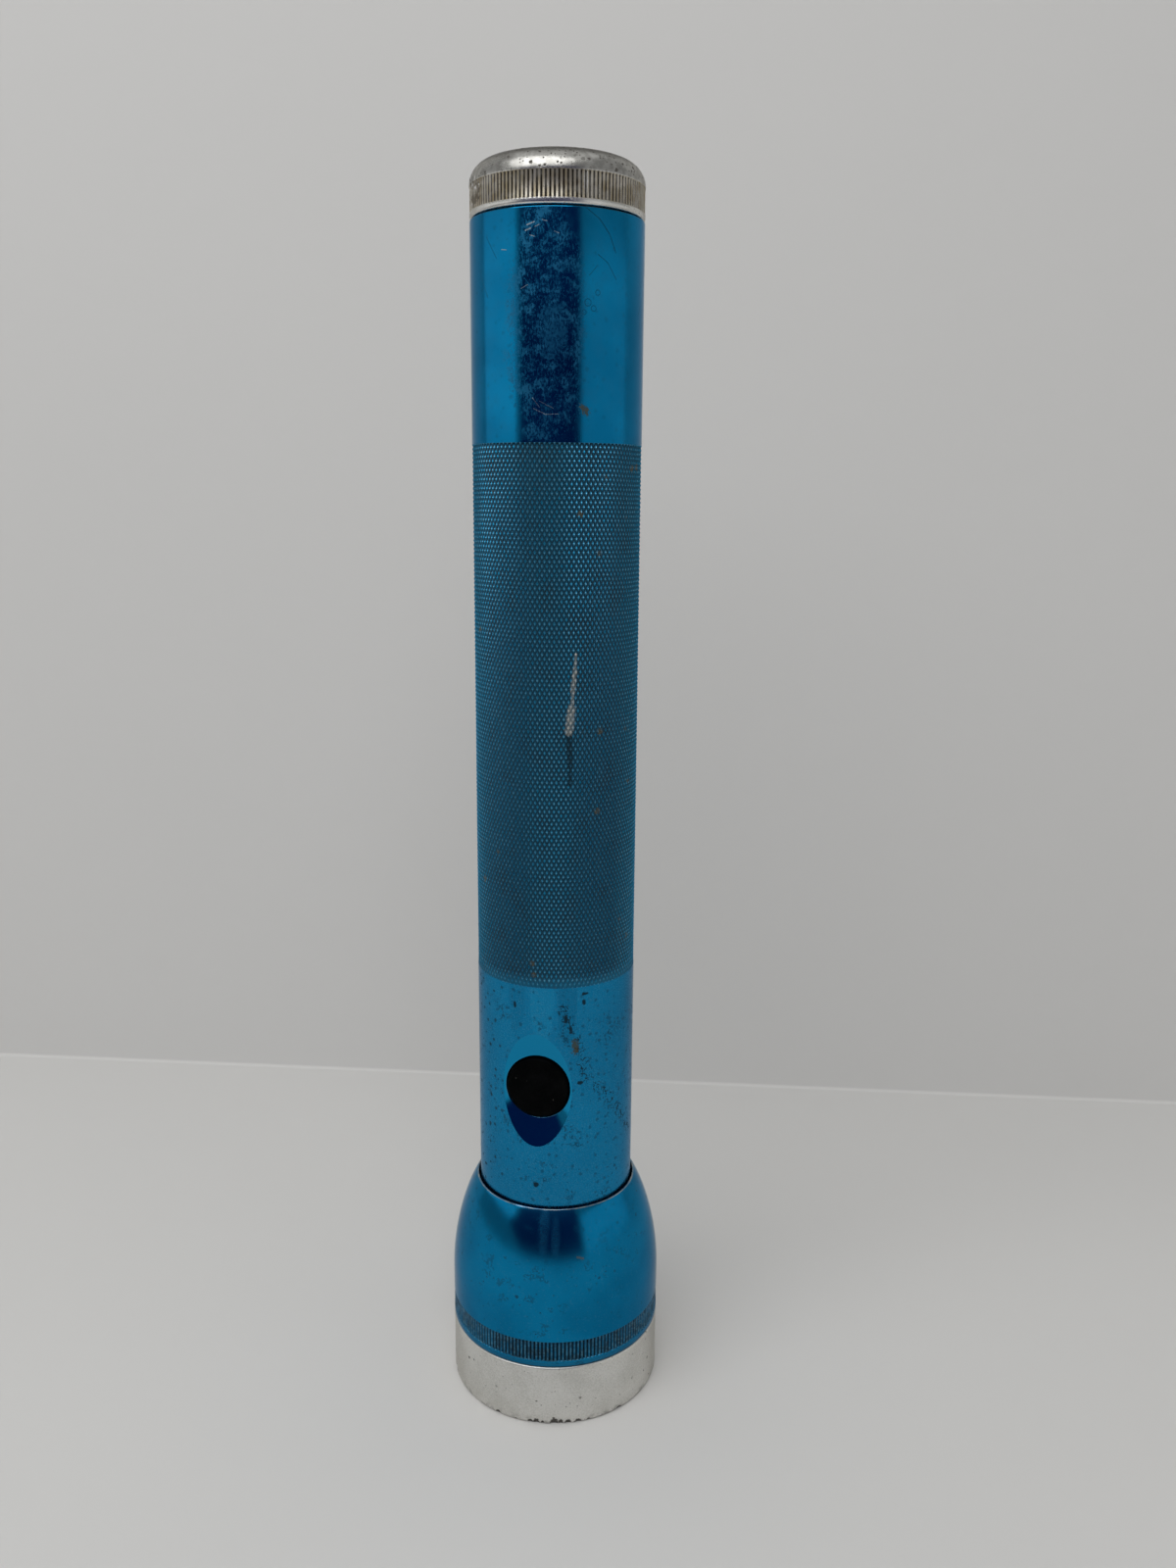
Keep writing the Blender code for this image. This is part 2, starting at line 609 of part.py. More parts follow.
def make_button(switch_axis):
    face = BUTTON_RADIUS - 2 * BUTTON_EDGE
    boot = [
        (0, button_top - BUTTON_DISH),
        (face, button_top - BUTTON_DISH),
        (face + BUTTON_EDGE, button_top),
        (BUTTON_RADIUS - BUTTON_EDGE / 2, button_top),
        (BUTTON_RADIUS, button_top - BUTTON_EDGE / 2),
        (BUTTON_RADIUS, button_bottom),
        (0, button_bottom),
    ]
    plunger = [
        (0, plunger_top),
        (PLUNGER_RADIUS, plunger_top),
        (PLUNGER_RADIUS, flange_outer),
        (plunger_flange_radius, flange_outer),
        (plunger_flange_radius, flange_inner),
        (0, flange_inner),
    ]
    turned("switch_boot", boot, BLACK_RUBBER, SMALL_SIDES, switch_axis)
    turned("switch_plunger", plunger, GREY_PLASTIC, SMALL_SIDES, switch_axis)
    ends = (spring_inner + SWITCH_SPRING_WIRE / 2, spring_outer - SWITCH_SPRING_WIRE / 2)
    radii = (SWITCH_SPRING_RADIUS, SWITCH_SPRING_RADIUS)
    coil("switch_spring", radii, ends, SWITCH_SPRING_WIRE, SWITCH_SPRING_TURNS, SPRING_STEEL, switch_axis)


def make_rotor(switch_axis):
    tip = cavity_radius - SLIDE_GAP
    outline = []
    for i in range(2 * ROTOR_TEETH):
        radius = tip - ROTOR_TOOTH_DEPTH if i % 2 else tip
        angle = math.pi * i / ROTOR_TEETH
        outline.append((radius * math.cos(angle), radius * math.sin(angle)))
    extruded("switch_rotor", outline, rotor_bottom, rotor_top, BRASS, switch_axis)


def make_ground_screw(switch_axis):
    """Hex socket set screw whose point bears on the barrel's bore, opposite the button."""
    head = cavity_floor - SEAT_GAP
    point = -(bore_radius - SEAT_GAP)
    outline = [
        (0, head - SCREW_SOCKET_DEPTH),
        (SCREW_SOCKET_RADIUS, head - SCREW_SOCKET_DEPTH),
        (SCREW_SOCKET_RADIUS, head),
        (SCREW_RADIUS, head),
        (SCREW_RADIUS, point + SCREW_POINT),
        (SCREW_SOCKET_RADIUS, point),
        (0, point),
    ]
    turned("ground_screw", outline, BLACK_OXIDE, WIRE_SIDES * 2, switch_axis)


def make_positive_contact():
    stem_front = switch_level + cavity_radius + SEAT_GAP
    head_front_face = housing_back + SEAT_GAP
    outline = [
        (0, stem_front),
        (CONTACT_STEM_RADIUS, stem_front),
        (CONTACT_STEM_RADIUS, head_front_face),
        (CONTACT_HEAD_RADIUS, head_front_face),
        (CONTACT_HEAD_RADIUS, head_front_face + CONTACT_HEAD_THICKNESS),
        (0, head_front_face + CONTACT_HEAD_THICKNESS),
    ]
    turned("positive_contact", outline, BRASS, SMALL_SIDES)


def make_lamp():
    post = [
        (0, post_front + LAMP_PLUG_LENGTH),
        (post_bore, post_front + LAMP_PLUG_LENGTH),
        (post_bore, post_front),
        (POST_RADIUS, post_front),
        (POST_RADIUS, post_back),
        (0, post_back),
    ]
    lamp = [
        (0, lamp_nose_front),
        (LAMP_NOSE_RADIUS, lamp_nose_front),
        (LAMP_NOSE_RADIUS, lamp_flange_front),
        (LAMP_FLANGE_RADIUS, lamp_flange_front),
        (LAMP_FLANGE_RADIUS, lamp_flange_back),
        (LAMP_PLUG_RADIUS, lamp_flange_back),
        (LAMP_PLUG_RADIUS, lamp_flange_back + LAMP_PLUG_LENGTH),
        (0, lamp_flange_back + LAMP_PLUG_LENGTH),
    ]
    inside = POST_RADIUS + THREAD_GAP
    collar = [
        (LAMP_NOSE_RADIUS + SEAT_GAP, collar_front),
        (inside + COLLAR_WALL, collar_front),
        (inside + COLLAR_WALL, collar_back),
        (inside, collar_back),
        (inside, collar_plate_back),
        (LAMP_NOSE_RADIUS + SEAT_GAP, collar_plate_back),
    ]
    dome_base = emitter_back - EMITTER_BASE
    emitter = [(0, emitter_back), (EMITTER_RADIUS, emitter_back)]
    emitter += rounded(0, dome_base, EMITTER_RADIUS, 0, -90)[:-1]
    emitter.append((0, dome_base - EMITTER_RADIUS))
    turned("lamp_post", post, BLACK_PLASTIC, SMALL_SIDES)
    turned("lamp_base", lamp, BRIGHT_PLATING, SMALL_SIDES)
    turned("lamp_collar", collar, BLACK_PLASTIC, SMALL_SIDES)
    turned("led_emitter", emitter, EMITTER_YELLOW, SMALL_SIDES)


def make_cam_follower():
    """A ring on the post with two radial pins that ride on the reflector's cam."""
    ring = [
        (follower_bore, follower_front),
        (follower_radius, follower_front),
        (follower_radius, follower_back),
        (follower_bore, follower_back),
    ]
    follower = turned("cam_follower", ring, GREY_PLASTIC, SMALL_SIDES)
    pin_start = (follower_bore + follower_radius) / 2
    pin = [(0, pin_start), (FOLLOWER_PIN_RADIUS, pin_start), (FOLLOWER_PIN_RADIUS, cam_outer_radius)]
    pin.append((0, cam_outer_radius))
    for side in (1, -1):
        tool = as_cutter(turned("follower_pin", pin, GREY_PLASTIC, 2 * WIRE_SIDES))
        tool.location.z = pin_level
        tool.rotation_euler.y = side * math.pi / 2
        combine(follower, tool, "UNION")
    ends = (follower_back + SEAT_GAP + POST_SPRING_WIRE / 2, housing_front - SEAT_GAP - POST_SPRING_WIRE / 2)
    seat_radius = (follower_bore + follower_radius) / 2
    radii = (seat_radius, seat_radius)
    coil("lamp_post_spring", radii, ends, POST_SPRING_WIRE, POST_SPRING_TURNS, SPRING_STEEL)


def make_cells():
    nub = CELL_NUB_DIAMETER / 2
    for i in range(CELL_COUNT):
        front = cells_front + i * (CELL_LENGTH + SEAT_GAP)
        can_front = front + CELL_NUB_HEIGHT
        back = front + CELL_LENGTH
        outline = [
            (0, front),
            (nub, front),
            (nub, can_front),
            (cell_radius - CELL_EDGE, can_front),
            (cell_radius, can_front + CELL_EDGE),
            (cell_radius, back - CELL_EDGE),
            (cell_radius - CELL_EDGE, back),
            (0, back),
        ]
        turned(f"battery_cell_{i + 1}", outline, CELL_SLEEVE, SMALL_SIDES)


def make_tail_cap():
    seal_level = tail_seam - TAIL_O_RING_FROM_SEAM
    seal_radius = tail_bore - SEAL_GAP - TAIL_O_RING_WIRE / 2
    groove_floor = seal_radius - TAIL_O_RING_WIRE / 2 - SEAL_GAP
    groove_half = TAIL_O_RING_WIRE / 2 + SEAT_GAP
    collar_end = seal_level - groove_half - TAIL_COLLAR_LAND
    outline = [(0, tail_top)]
    outline += rounded(
        barrel_radius - TAIL_SHOULDER_ROUND, tail_top - TAIL_SHOULDER_ROUND, TAIL_SHOULDER_ROUND, 90, 0
    )
    outline += [
        (barrel_radius, tail_seam + TAIL_EDGE),
        (barrel_radius - TAIL_EDGE, tail_seam),
        (tail_plug_radius, tail_seam),
        (tail_plug_radius, seal_level + groove_half),
        (groove_floor, seal_level + groove_half),
        (groove_floor, seal_level - groove_half),
        (tail_plug_radius, seal_level - groove_half),
        (tail_plug_radius, collar_end),
        (tail_thread_root, collar_end - TAIL_THREAD_DEPTH),
        (tail_thread_root, plug_end),
        (tail_hollow, plug_end),
        (tail_hollow, tail_top - TAIL_ROOF),
        (0, tail_top - TAIL_ROOF),
    ]
    cap = turned("tail_cap", outline, BARE_ALUMINIUM)
    band = tail_seam + TAIL_BAND_FROM_SEAM
    flute(cap, barrel_radius, TAIL_FLUTE_COUNT, band, band + TAIL_BAND_WIDTH)
    seal_ring("tail_o_ring", seal_radius, TAIL_O_RING_WIRE, seal_level)


def make_tail_spring():
    base_radius = tail_hollow - TAIL_SPRING_SIDE_GAP - TAIL_SPRING_WIRE / 2
    inset = SEAT_GAP + TAIL_SPRING_WIRE / 2
    ends = (cells_back + inset, tail_top - TAIL_ROOF - inset)
    radii = (TAIL_SPRING_TIP_RADIUS, base_radius)
    coil("tail_spring", radii, ends, TAIL_SPRING_WIRE, TAIL_SPRING_TURNS, SPRING_STEEL)


def main():
    switch_axis = bpy.data.objects.new("switch_axis", None)
    bpy.context.scene.collection.objects.link(switch_axis)
    switch_axis.location.z = switch_level
    switch_axis.rotation_euler.x = math.pi / 2
    make_face_cap()
    make_lens()
    make_head()
    make_reflector()
    make_barrel(switch_axis)
    make_snap_ring()
    make_switch_housing(switch_axis)
    make_button(switch_axis)
    make_rotor(switch_axis)
    make_ground_screw(switch_axis)
    make_positive_contact()
    make_lamp()
    make_cam_follower()
    make_cells()
    make_tail_cap()
    make_tail_spring()
    print(f"length {tail_top / MM:.1f} mm, barrel {2 * barrel_radius / MM:.1f} mm across")


main()
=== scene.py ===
import functools
import json
import math

import bmesh
import bpy
import numpy as np
from mathutils import Matrix, Vector


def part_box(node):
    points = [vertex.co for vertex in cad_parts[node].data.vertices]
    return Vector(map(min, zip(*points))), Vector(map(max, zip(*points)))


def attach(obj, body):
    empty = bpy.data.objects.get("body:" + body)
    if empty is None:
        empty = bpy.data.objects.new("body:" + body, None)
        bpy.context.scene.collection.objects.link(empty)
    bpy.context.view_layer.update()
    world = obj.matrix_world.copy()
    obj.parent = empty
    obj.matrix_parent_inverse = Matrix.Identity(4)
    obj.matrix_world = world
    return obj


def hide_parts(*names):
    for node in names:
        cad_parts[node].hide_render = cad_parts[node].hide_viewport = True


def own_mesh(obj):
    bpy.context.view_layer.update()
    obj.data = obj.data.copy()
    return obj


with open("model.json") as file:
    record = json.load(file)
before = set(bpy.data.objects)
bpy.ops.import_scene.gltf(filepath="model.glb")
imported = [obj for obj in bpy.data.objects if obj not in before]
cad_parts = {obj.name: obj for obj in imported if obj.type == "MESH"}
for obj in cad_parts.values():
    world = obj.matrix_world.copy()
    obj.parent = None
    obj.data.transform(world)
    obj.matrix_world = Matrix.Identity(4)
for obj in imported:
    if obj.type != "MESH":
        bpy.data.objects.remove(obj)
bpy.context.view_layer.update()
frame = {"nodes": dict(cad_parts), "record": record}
mm = 0.001  # every length below is in millimetres and goes to metres when a mesh is made
fullTurn = 2 * math.pi


class Settings(dict):  # a dictionary that can also be read as look.radius
    __getattr__ = dict.__getitem__


def nodeBox(node):  # low and high corner of a CAD node, in millimetres
    low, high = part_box(node)
    return low / mm, high / mm


def spun(degrees, axis="Z"):
    return Matrix.Rotation(math.radians(degrees), 4, axis)


def srgb(red, green, blue, alpha=1.0):  # screen values 0..255 to the linear colour a socket takes
    def linear(value):
        share = value / 255
        return share / 12.92 if share <= 0.04045 else ((share + 0.055) / 1.055) ** 2.4
    return (linear(red), linear(green), linear(blue), alpha)


class Wire:  # a socket in a node tree: sums and products of wires add their Math nodes
    def __init__(self, tree, socket=None):
        self.tree = tree
        self.socket = socket

    def node(self, kind, settings=None, sockets=None, out=0):
        made = self.tree.nodes.new("ShaderNode" + kind)
        for key, value in (settings or {}).items():
            setattr(made, key, value)
        for key, value in (sockets or {}).items():
            if isinstance(value, Wire):
                self.tree.links.new(value.socket, made.inputs[key])
            else:
                made.inputs[key].default_value = value
        return Wire(self.tree, made.outputs[out])

    def other(self, out):  # another output of the same node
        return Wire(self.tree, self.socket.node.outputs[out])

    def math(self, operation, *values):
        return self.node("Math", {"operation": operation}, dict(enumerate(values)))

    def __add__(self, value):
        return self.math("ADD", self, value)

    def __sub__(self, value):
        return self.math("SUBTRACT", self, value)

    def __rsub__(self, value):
        return self.math("SUBTRACT", value, self)

    def __mul__(self, value):
        return self.math("MULTIPLY", self, value)

    def __truediv__(self, value):
        return self.math("DIVIDE", self, value)

    def __or__(self, value):  # the larger of two masks
        return self.math("MAXIMUM", self, value)

    __radd__ = __add__
    __rmul__ = __mul__

    def __abs__(self):
        return self.math("ABSOLUTE", self)

    def ease(self, low, high):  # 0 at low, 1 at high, smooth between, also with high below low
        return self.node("MapRange", {"interpolation_type": "SMOOTHSTEP"},
                         {"Value": self, "From Min": low, "From Max": high})

    def tint(self, dark, light):  # a colour between two, by this mask
        return self.node("Mix", {"data_type": "RGBA"}, {0: self, 6: dark, 7: light}, 2)

    def part(self, axis):  # one coordinate of a position
        return self.node("SeparateXYZ", {}, {0: self}, axis)

    def stretch(self, x, y, z):  # a position scaled per axis
        return self.node("VectorMath", {"operation": "MULTIPLY"}, {0: self, 1: (x, y, z)})

    def grain(self, size, detail=2.0, rough=0.5):  # noise with features of a size in mm, about 0.3..0.7
        sockets = {"Vector": self, "Scale": 1 / (size * mm), "Detail": detail, "Roughness": rough}
        return self.node("TexNoise", {}, sockets, "Fac")

    def ragged(self, size, detail, amount):  # the same noise about 0
        return (self.grain(size, detail) - 0.5) * amount

    def wobble(self, size, shift):  # a position moved by noise, so that what it draws gets ragged
        push = self.node("TexNoise", {}, {"Vector": self, "Scale": 1 / (size * mm)}, "Color")
        centred = self.node("VectorMath", {"operation": "SUBTRACT"}, {0: push, 1: (0.5, 0.5, 0.5)})
        scaled = self.node("VectorMath", {"operation": "SCALE"}, {0: centred, "Scale": shift * mm})
        return self.node("VectorMath", {"operation": "ADD"}, {0: self, 1: scaled})

    def pits(self, spacing, share, size):  # round spots on a share of cells, sizes in mm
        cell = self.node("TexVoronoi", {}, {"Vector": self, "Scale": 1 / (spacing * mm)}, "Distance")
        chance = self.node("SeparateColor", {}, {0: cell.other("Color")}, 0)
        reach = size / spacing
        return chance.ease(1 - share, 1.02 - share) * (cell + chance * -0.4 * reach).ease(reach, 0.4 * reach)


def newFinish(name):  # material, its shader and the position on the piece
    material = bpy.data.materials.new(name)
    material.use_nodes = True
    place = Wire(material.node_tree).node("TexCoord", out="Object")
    return material, material.node_tree.nodes["Principled BSDF"], place


def feed(shader, **sockets):  # wires or plain values into the shader, "Base_Color" for "Base Color"
    for key, value in sockets.items():
        target = shader.inputs[key.replace("_", " ")]
        if isinstance(value, Wire):
            value.tree.links.new(value.socket, target)
        else:
            target.default_value = value


def bump(height, strength, distance):  # distance in mm
    return height.node("Bump", {},
                       {"Height": height, "Strength": strength, "Distance": distance * mm}, "Normal")


def span(one, two):  # length of two coordinates
    total = one * one + two * two
    return total.math("SQRT", total)


def roundFinish(name, radius):  # also arc from the button's side, reach from the axis and level, in mm
    material, shader, place = newFinish(name)
    x = place.part("X")
    y, level = x.other("Y"), x.other("Z") / mm
    arc = x.math("ARCTAN2", x, 0 - y) * radius
    return material, shader, place, arc, span(x, y) / mm, level


def between(value, low, high, soft):
    return value.ease(low - soft, low + soft) * value.ease(high + soft, high - soft)


def blot(arc, level, spot, ragged, soft=0.25):  # a patch: arc, level, half width and half height in mm
    across = (arc - spot[0]) / spot[2]
    along = (level - spot[1]) / spot[3]
    return (across * across + along * along + ragged).ease(1 + soft, 1 - soft)


def scratch(arc, level, mark, ragged):  # a straight mark: arc and level at both ends, half width in mm
    fromArc, fromLevel, toArc, toLevel, half = mark
    runArc, runLevel = toArc - fromArc, toLevel - fromLevel
    length = runArc ** 2 + runLevel ** 2
    share = ((arc - fromArc) * runArc + (level - fromLevel) * runLevel) / length
    share = share.math("MINIMUM", share.math("MAXIMUM", share, 0), 1)
    across = arc - fromArc - share * runArc
    along = level - fromLevel - share * runLevel
    return (span(across, along) / half + ragged).ease(1.25, 0.6)


def strongest(masks):
    return functools.reduce(Wire.__or__, masks)


print("shader tools ready")

anodiseLook = Settings(
    deep=(0.0025, 0.150, 0.320, 1), bright=(0.0045, 0.212, 0.430, 1), haze=(0.028, 0.185, 0.345, 1),
    # fresh is the dish's cleaner blue, and also the lighter painted reflection band below the grip
    low=(0.006, 0.225, 0.465, 1), dust=(0.12, 0.30, 0.40, 1), fresh=(0.012, 0.275, 0.52, 1),
    # grime is the dark dirt in the head's flutes, and also the painted shade in the knurl's valleys
    gripDeep=(0.008, 0.215, 0.390, 1), rub=(0.30, 0.56, 0.70, 1), grime=(0.009, 0.013, 0.015, 1),
    # bare is bare aluminium for wear and scratches, and also the painted highlight on the head's rim
    rot=(0.003, 0.014, 0.022, 1), olive=srgb(96, 84, 52), tan=srgb(74, 66, 24), bare=srgb(190, 188, 178),
    edge=(0.62, 0.74, 0.82, 1),
)
barrelMarks = Settings(  # arc from the button's side and level in mm, then as scratch and blot take them
    scuff=[
        (9.9, 203, 9.7, 199, 0.35), (9.7, 199.5, 9.2, 194, 0.6), (9.2, 194, 9, 190, 0.4),
        (8.9, 190, 8.3, 184.6, 1.05),
    ],
    smear=[(8.3, 183.5, 8.6, 176, 0.8), (8.7, 177, 8.5, 171.5, 0.5)],
    whiteScratches=[
        (-1.6, 297.3, 0.1, 297.9, 0.12), (-1.9, 296.2, -0.7, 296.6, 0.16), (0.3, 296.9, 1.2, 297.3, 0.08),
        (1.9, 298.3, 3, 298, 0.09), (-0.9, 295.2, 0.2, 294.9, 0.07), (4.6, 295.9, 5.6, 295.5, 0.07),
        (-8.1, 292.7, -6.8, 292.5, 0.09), (-0.2, 258.6, 2.6, 257.3, 0.07), (2.6, 257.3, 5.6, 257.4, 0.07),
        (-0.4, 260.9, 1.2, 258.9, 0.06), (1.2, 260.2, 4.4, 258.6, 0.05), (-3, 284.2, -1.4, 285, 0.06),
    ],
    hairlines=[
        (11.6, 301, 15, 298.9, 0.09), (15, 298.9, 17.6, 296, 0.1), (17.6, 296, 19.4, 292.4, 0.09),
        (14.6, 291.6, 17.2, 290, 0.07), (17.2, 290, 19.6, 286.8, 0.06), (12.4, 287, 14.6, 289.4, 0.05),
        (-13, 296, -9.6, 291, 0.05), (-16, 289, -12.6, 283, 0.05),
    ],
    ringSpots=[(12.2, 281.4, 0.75), (13.6, 280.2, 0.6), (11.3, 279.3, 0.5), (14.6, 283.6, 0.55)],
    tanNicks=[(11, 258.9, 11.9, 258, 0.85), (10.1, 104.6, 10.2, 102.4, 0.85)],
    chain=[
        (7.3, 113.5, 10.6, 104, 1.7), (10.6, 104, 14, 94, 1.7), (14, 94, 20.5, 87.5, 1.7),
        (20.5, 87.5, 30, 75, 1.7),
    ],
    darkMarks=[
        (7.8, 111.3, 0.5, 1.1), (9, 108.4, 0.4, 0.9), (0.1, 65.2, 0.75, 0.65), (12.6, 117.6, 0.9, 0.4),
        (12.4, 115.4, 0.5, 0.8), (-5.6, 114.2, 0.4, 0.8), (11.5, 93.6, 0.8, 0.5),
    ],
    # runs are painted reflection: two darker bands and one lighter band below the grip
    runs=[(-5.2, 118, 2.4, 11), (8.2, 119, 2.6, 15), (1.7, 118, 3, 15)],
    rubbed=(2.5, 276, 9, 27),
    palest=(4.2, 275.5, 2.6, 5),
)


def anodisedBarrel(sizes):
    look, marks = anodiseLook, barrelMarks
    material, shader, place, arc, reach, level = roundFinish("barrel_blue_anodise", sizes.radius)
    fromSwitch = span(place.part("X") / mm, level - sizes.switchLevel)
    front = abs(arc).ease(26, 24)
    dishEdge = sizes.dishRadius
    dish = (sizes.radius - reach).ease(0.02, 0.05) * fromSwitch.ease(dishEdge + 0.7, dishEdge + 0.3) * front
    holeEdge = between(fromSwitch, sizes.hole - 0.05, sizes.hole + 0.2, 0.05) * front
    grip = between(level, sizes.gripLow, sizes.gripHigh, 0.05)
    upper = level.ease(sizes.gripHigh - 0.5, sizes.gripHigh + 0.5)
    lower = level.ease(sizes.gripLow + 0.5, sizes.gripLow - 0.5) * (1 - dish)
    row = (sizes.gripHigh - sizes.gripLow) / sizes.knurlRows
    fullLevel = sizes.gripLow + row * (sizes.runOut - 1)
    fullCut = level.ease(sizes.gripLow - row, fullLevel) | 0.25  # lowest rows are shallower
    sunk = (sizes.radius - reach) / (fullCut * sizes.knurlDepth)
    valley = sunk.ease(0.25, 0.8) * grip
    ragged = place.ragged(0.45, 3, 1.8)
    cloud = place.grain(24, 3)
    lines = place.stretch(1, 1, 0.02).grain(0.12)  # polishing lines along the tube
    colour = cloud.ease(0.3, 0.7).tint(look.deep, look.bright)
    colour = (grip * 0.75).tint((lower * 0.5).tint(colour, look.low), look.gripDeep)
    flecks = place.stretch(1, 1, 0.5).grain(0.36, 3)
    patches = place.wobble(1.6, 2.2).grain(3.4, 4, 0.65)
    rubbed = blot(arc, level, marks.rubbed, place.ragged(6, 3, 1.4))
    palest = blot(arc, level, marks.palest, (patches - 0.5) * 9) * (0.4 + flecks.ease(0.35, 0.6) * 0.4)
    haze = patches.ease(0.42, 0.6) * (0.3 + flecks.ease(0.38, 0.58) * 0.7) | flecks.ease(0.5, 0.62) * 0.6
    haze = (haze * (0.2 + rubbed * 0.8) | palest) * upper
    colour = (haze * 0.78).tint(colour, look.haze)
    dust = (0.06 + place.grain(0.35).ease(0.42, 0.72) * 0.4) * lower
    dust = dust + grip * (1 - valley) * flecks.ease(0.5, 0.66) * 0.8
    streaks = place.stretch(1, 1, 0.1).ragged(0.9, 2, 1.2)
    # painted reflection: two darker bands with a lighter band between them, down the lower barrel below the
    # grip
    runs = [blot(arc, level, spot, streaks) * lower for spot in marks.runs]
    colour = (runs[0] * 0.45 | runs[1] * 0.55).tint((runs[2] * 0.45).tint(colour, look.fresh), look.deep)
    colour = (dish * 0.8).tint((dust * 0.42).tint(colour, look.dust), look.fresh)
    film = place.grain(7, 4).ease(0.5, 0.75)  # hand dirt on the grip; the darkening of the knurl's valleys below is mostly painted shade
    # painted shade in the knurl's valleys, stronger where the cut is full, with a little real hand dirt
    gripDirtAndShade = valley * (0.78 + film * 0.1) * (0.5 + fullCut * 0.5) | film * grip * 0.06
    colour = gripDirtAndShade.tint(colour, look.grime)
    tanPoints = grip * place.wobble(0.6, 0.5).pits(5, 0.2, 0.8) * ragged.ease(-0.4, 0.2)
    colour = (tanPoints * 0.75).tint(colour, look.olive)
    points = sunk.ease(0.42, 0.14) * grip * flecks.ease(0.32, 0.58)
    colour = (points * 0.55).tint(colour, look.rub)
    wander = place.wobble(1.2, 0.7).grain(1, 1)
    worms = abs(wander - 0.5).ease(0.075, 0.03) * place.grain(1.5).ease(0.46, 0.54)  # crooked corrosion lines
    chain = strongest([scratch(arc, level, mark, ragged * 0.7) for mark in marks.chain])
    eaten = (chain | lower * place.grain(7).ease(0.57, 0.66) * 0.6) * worms * (1 - dish)
    dense = lower * (0.45 + abs(arc + 20).ease(14, 5) * 0.45) + upper * 0.14
    specks = place.wobble(0.5, 0.7).pits(1.9, 0.5, 0.46) * dense
    specks = specks | place.wobble(0.4, 0.4).pits(0.9, 0.14, 0.22) * dense * 0.9
    dark = [specks, eaten] + [blot(arc, level, spot, ragged * 1.5) for spot in marks.darkMarks]
    dark += [scratch(arc, level, mark, ragged) * 0.7 for mark in marks.smear]
    dark += [scratch(arc, level, mark, ragged * 0.3) * 0.85 for mark in marks.hairlines]
    for spot in marks.ringSpots:  # dried drops
        dark.append(abs(span(arc - spot[0], level - spot[1]) - spot[2]).ease(0.16, 0.05) * 0.4)
    dark = strongest(dark)
    colour = (dark * 0.9).tint(colour, look.rot)
    nicks = strongest([scratch(arc, level, mark, ragged * 2.2) for mark in marks.tanNicks])
    colour = (nicks * 0.8).tint(colour, look.tan)
    onPoints, broken = 1 - valley * 0.6, 0.45 + flecks.ease(0.4, 0.55) * 0.55
    worn = [scratch(arc, level, mark, ragged * 0.8) * onPoints * broken for mark in marks.scuff]
    worn += [scratch(arc, level, mark, ragged * 0.6) * 0.6 for mark in marks.whiteScratches]
    worn = strongest(worn + [holeEdge * (0.05 + place.grain(2.2).ease(0.35, 0.65) * 0.15)])
    colour = worn.tint(colour, look.bare)
    dull = dark | gripDirtAndShade | nicks
    rough = 0.11 + haze * 0.26 + lines * 0.08 + grip * 0.1 + lower * 0.09
    rough = rough + dull * 0.35 + worn * 0.25 + dust * 0.1
    metallic = 1 - (gripDirtAndShade * 0.85 | dark * 0.3 | nicks * 0.4)
    feed(shader, Base_Color=colour, Roughness=rough - dish * 0.07, Metallic=metallic, Specular_Tint=look.edge,
         Normal=bump(lines * 0.2 - dull * 0.6 - worn * 0.4, 0.25, 0.06))
    return material


headMarks = Settings(  # places as on the barrel
    # smudges are painted reflection on the upper bell
    nick=(13.5, 47.6, 15, 47.1, 0.35), smudges=[(3.6, 54.5, 1.6, 5.4), (7.2, 53, 1.3, 4.2)],
)


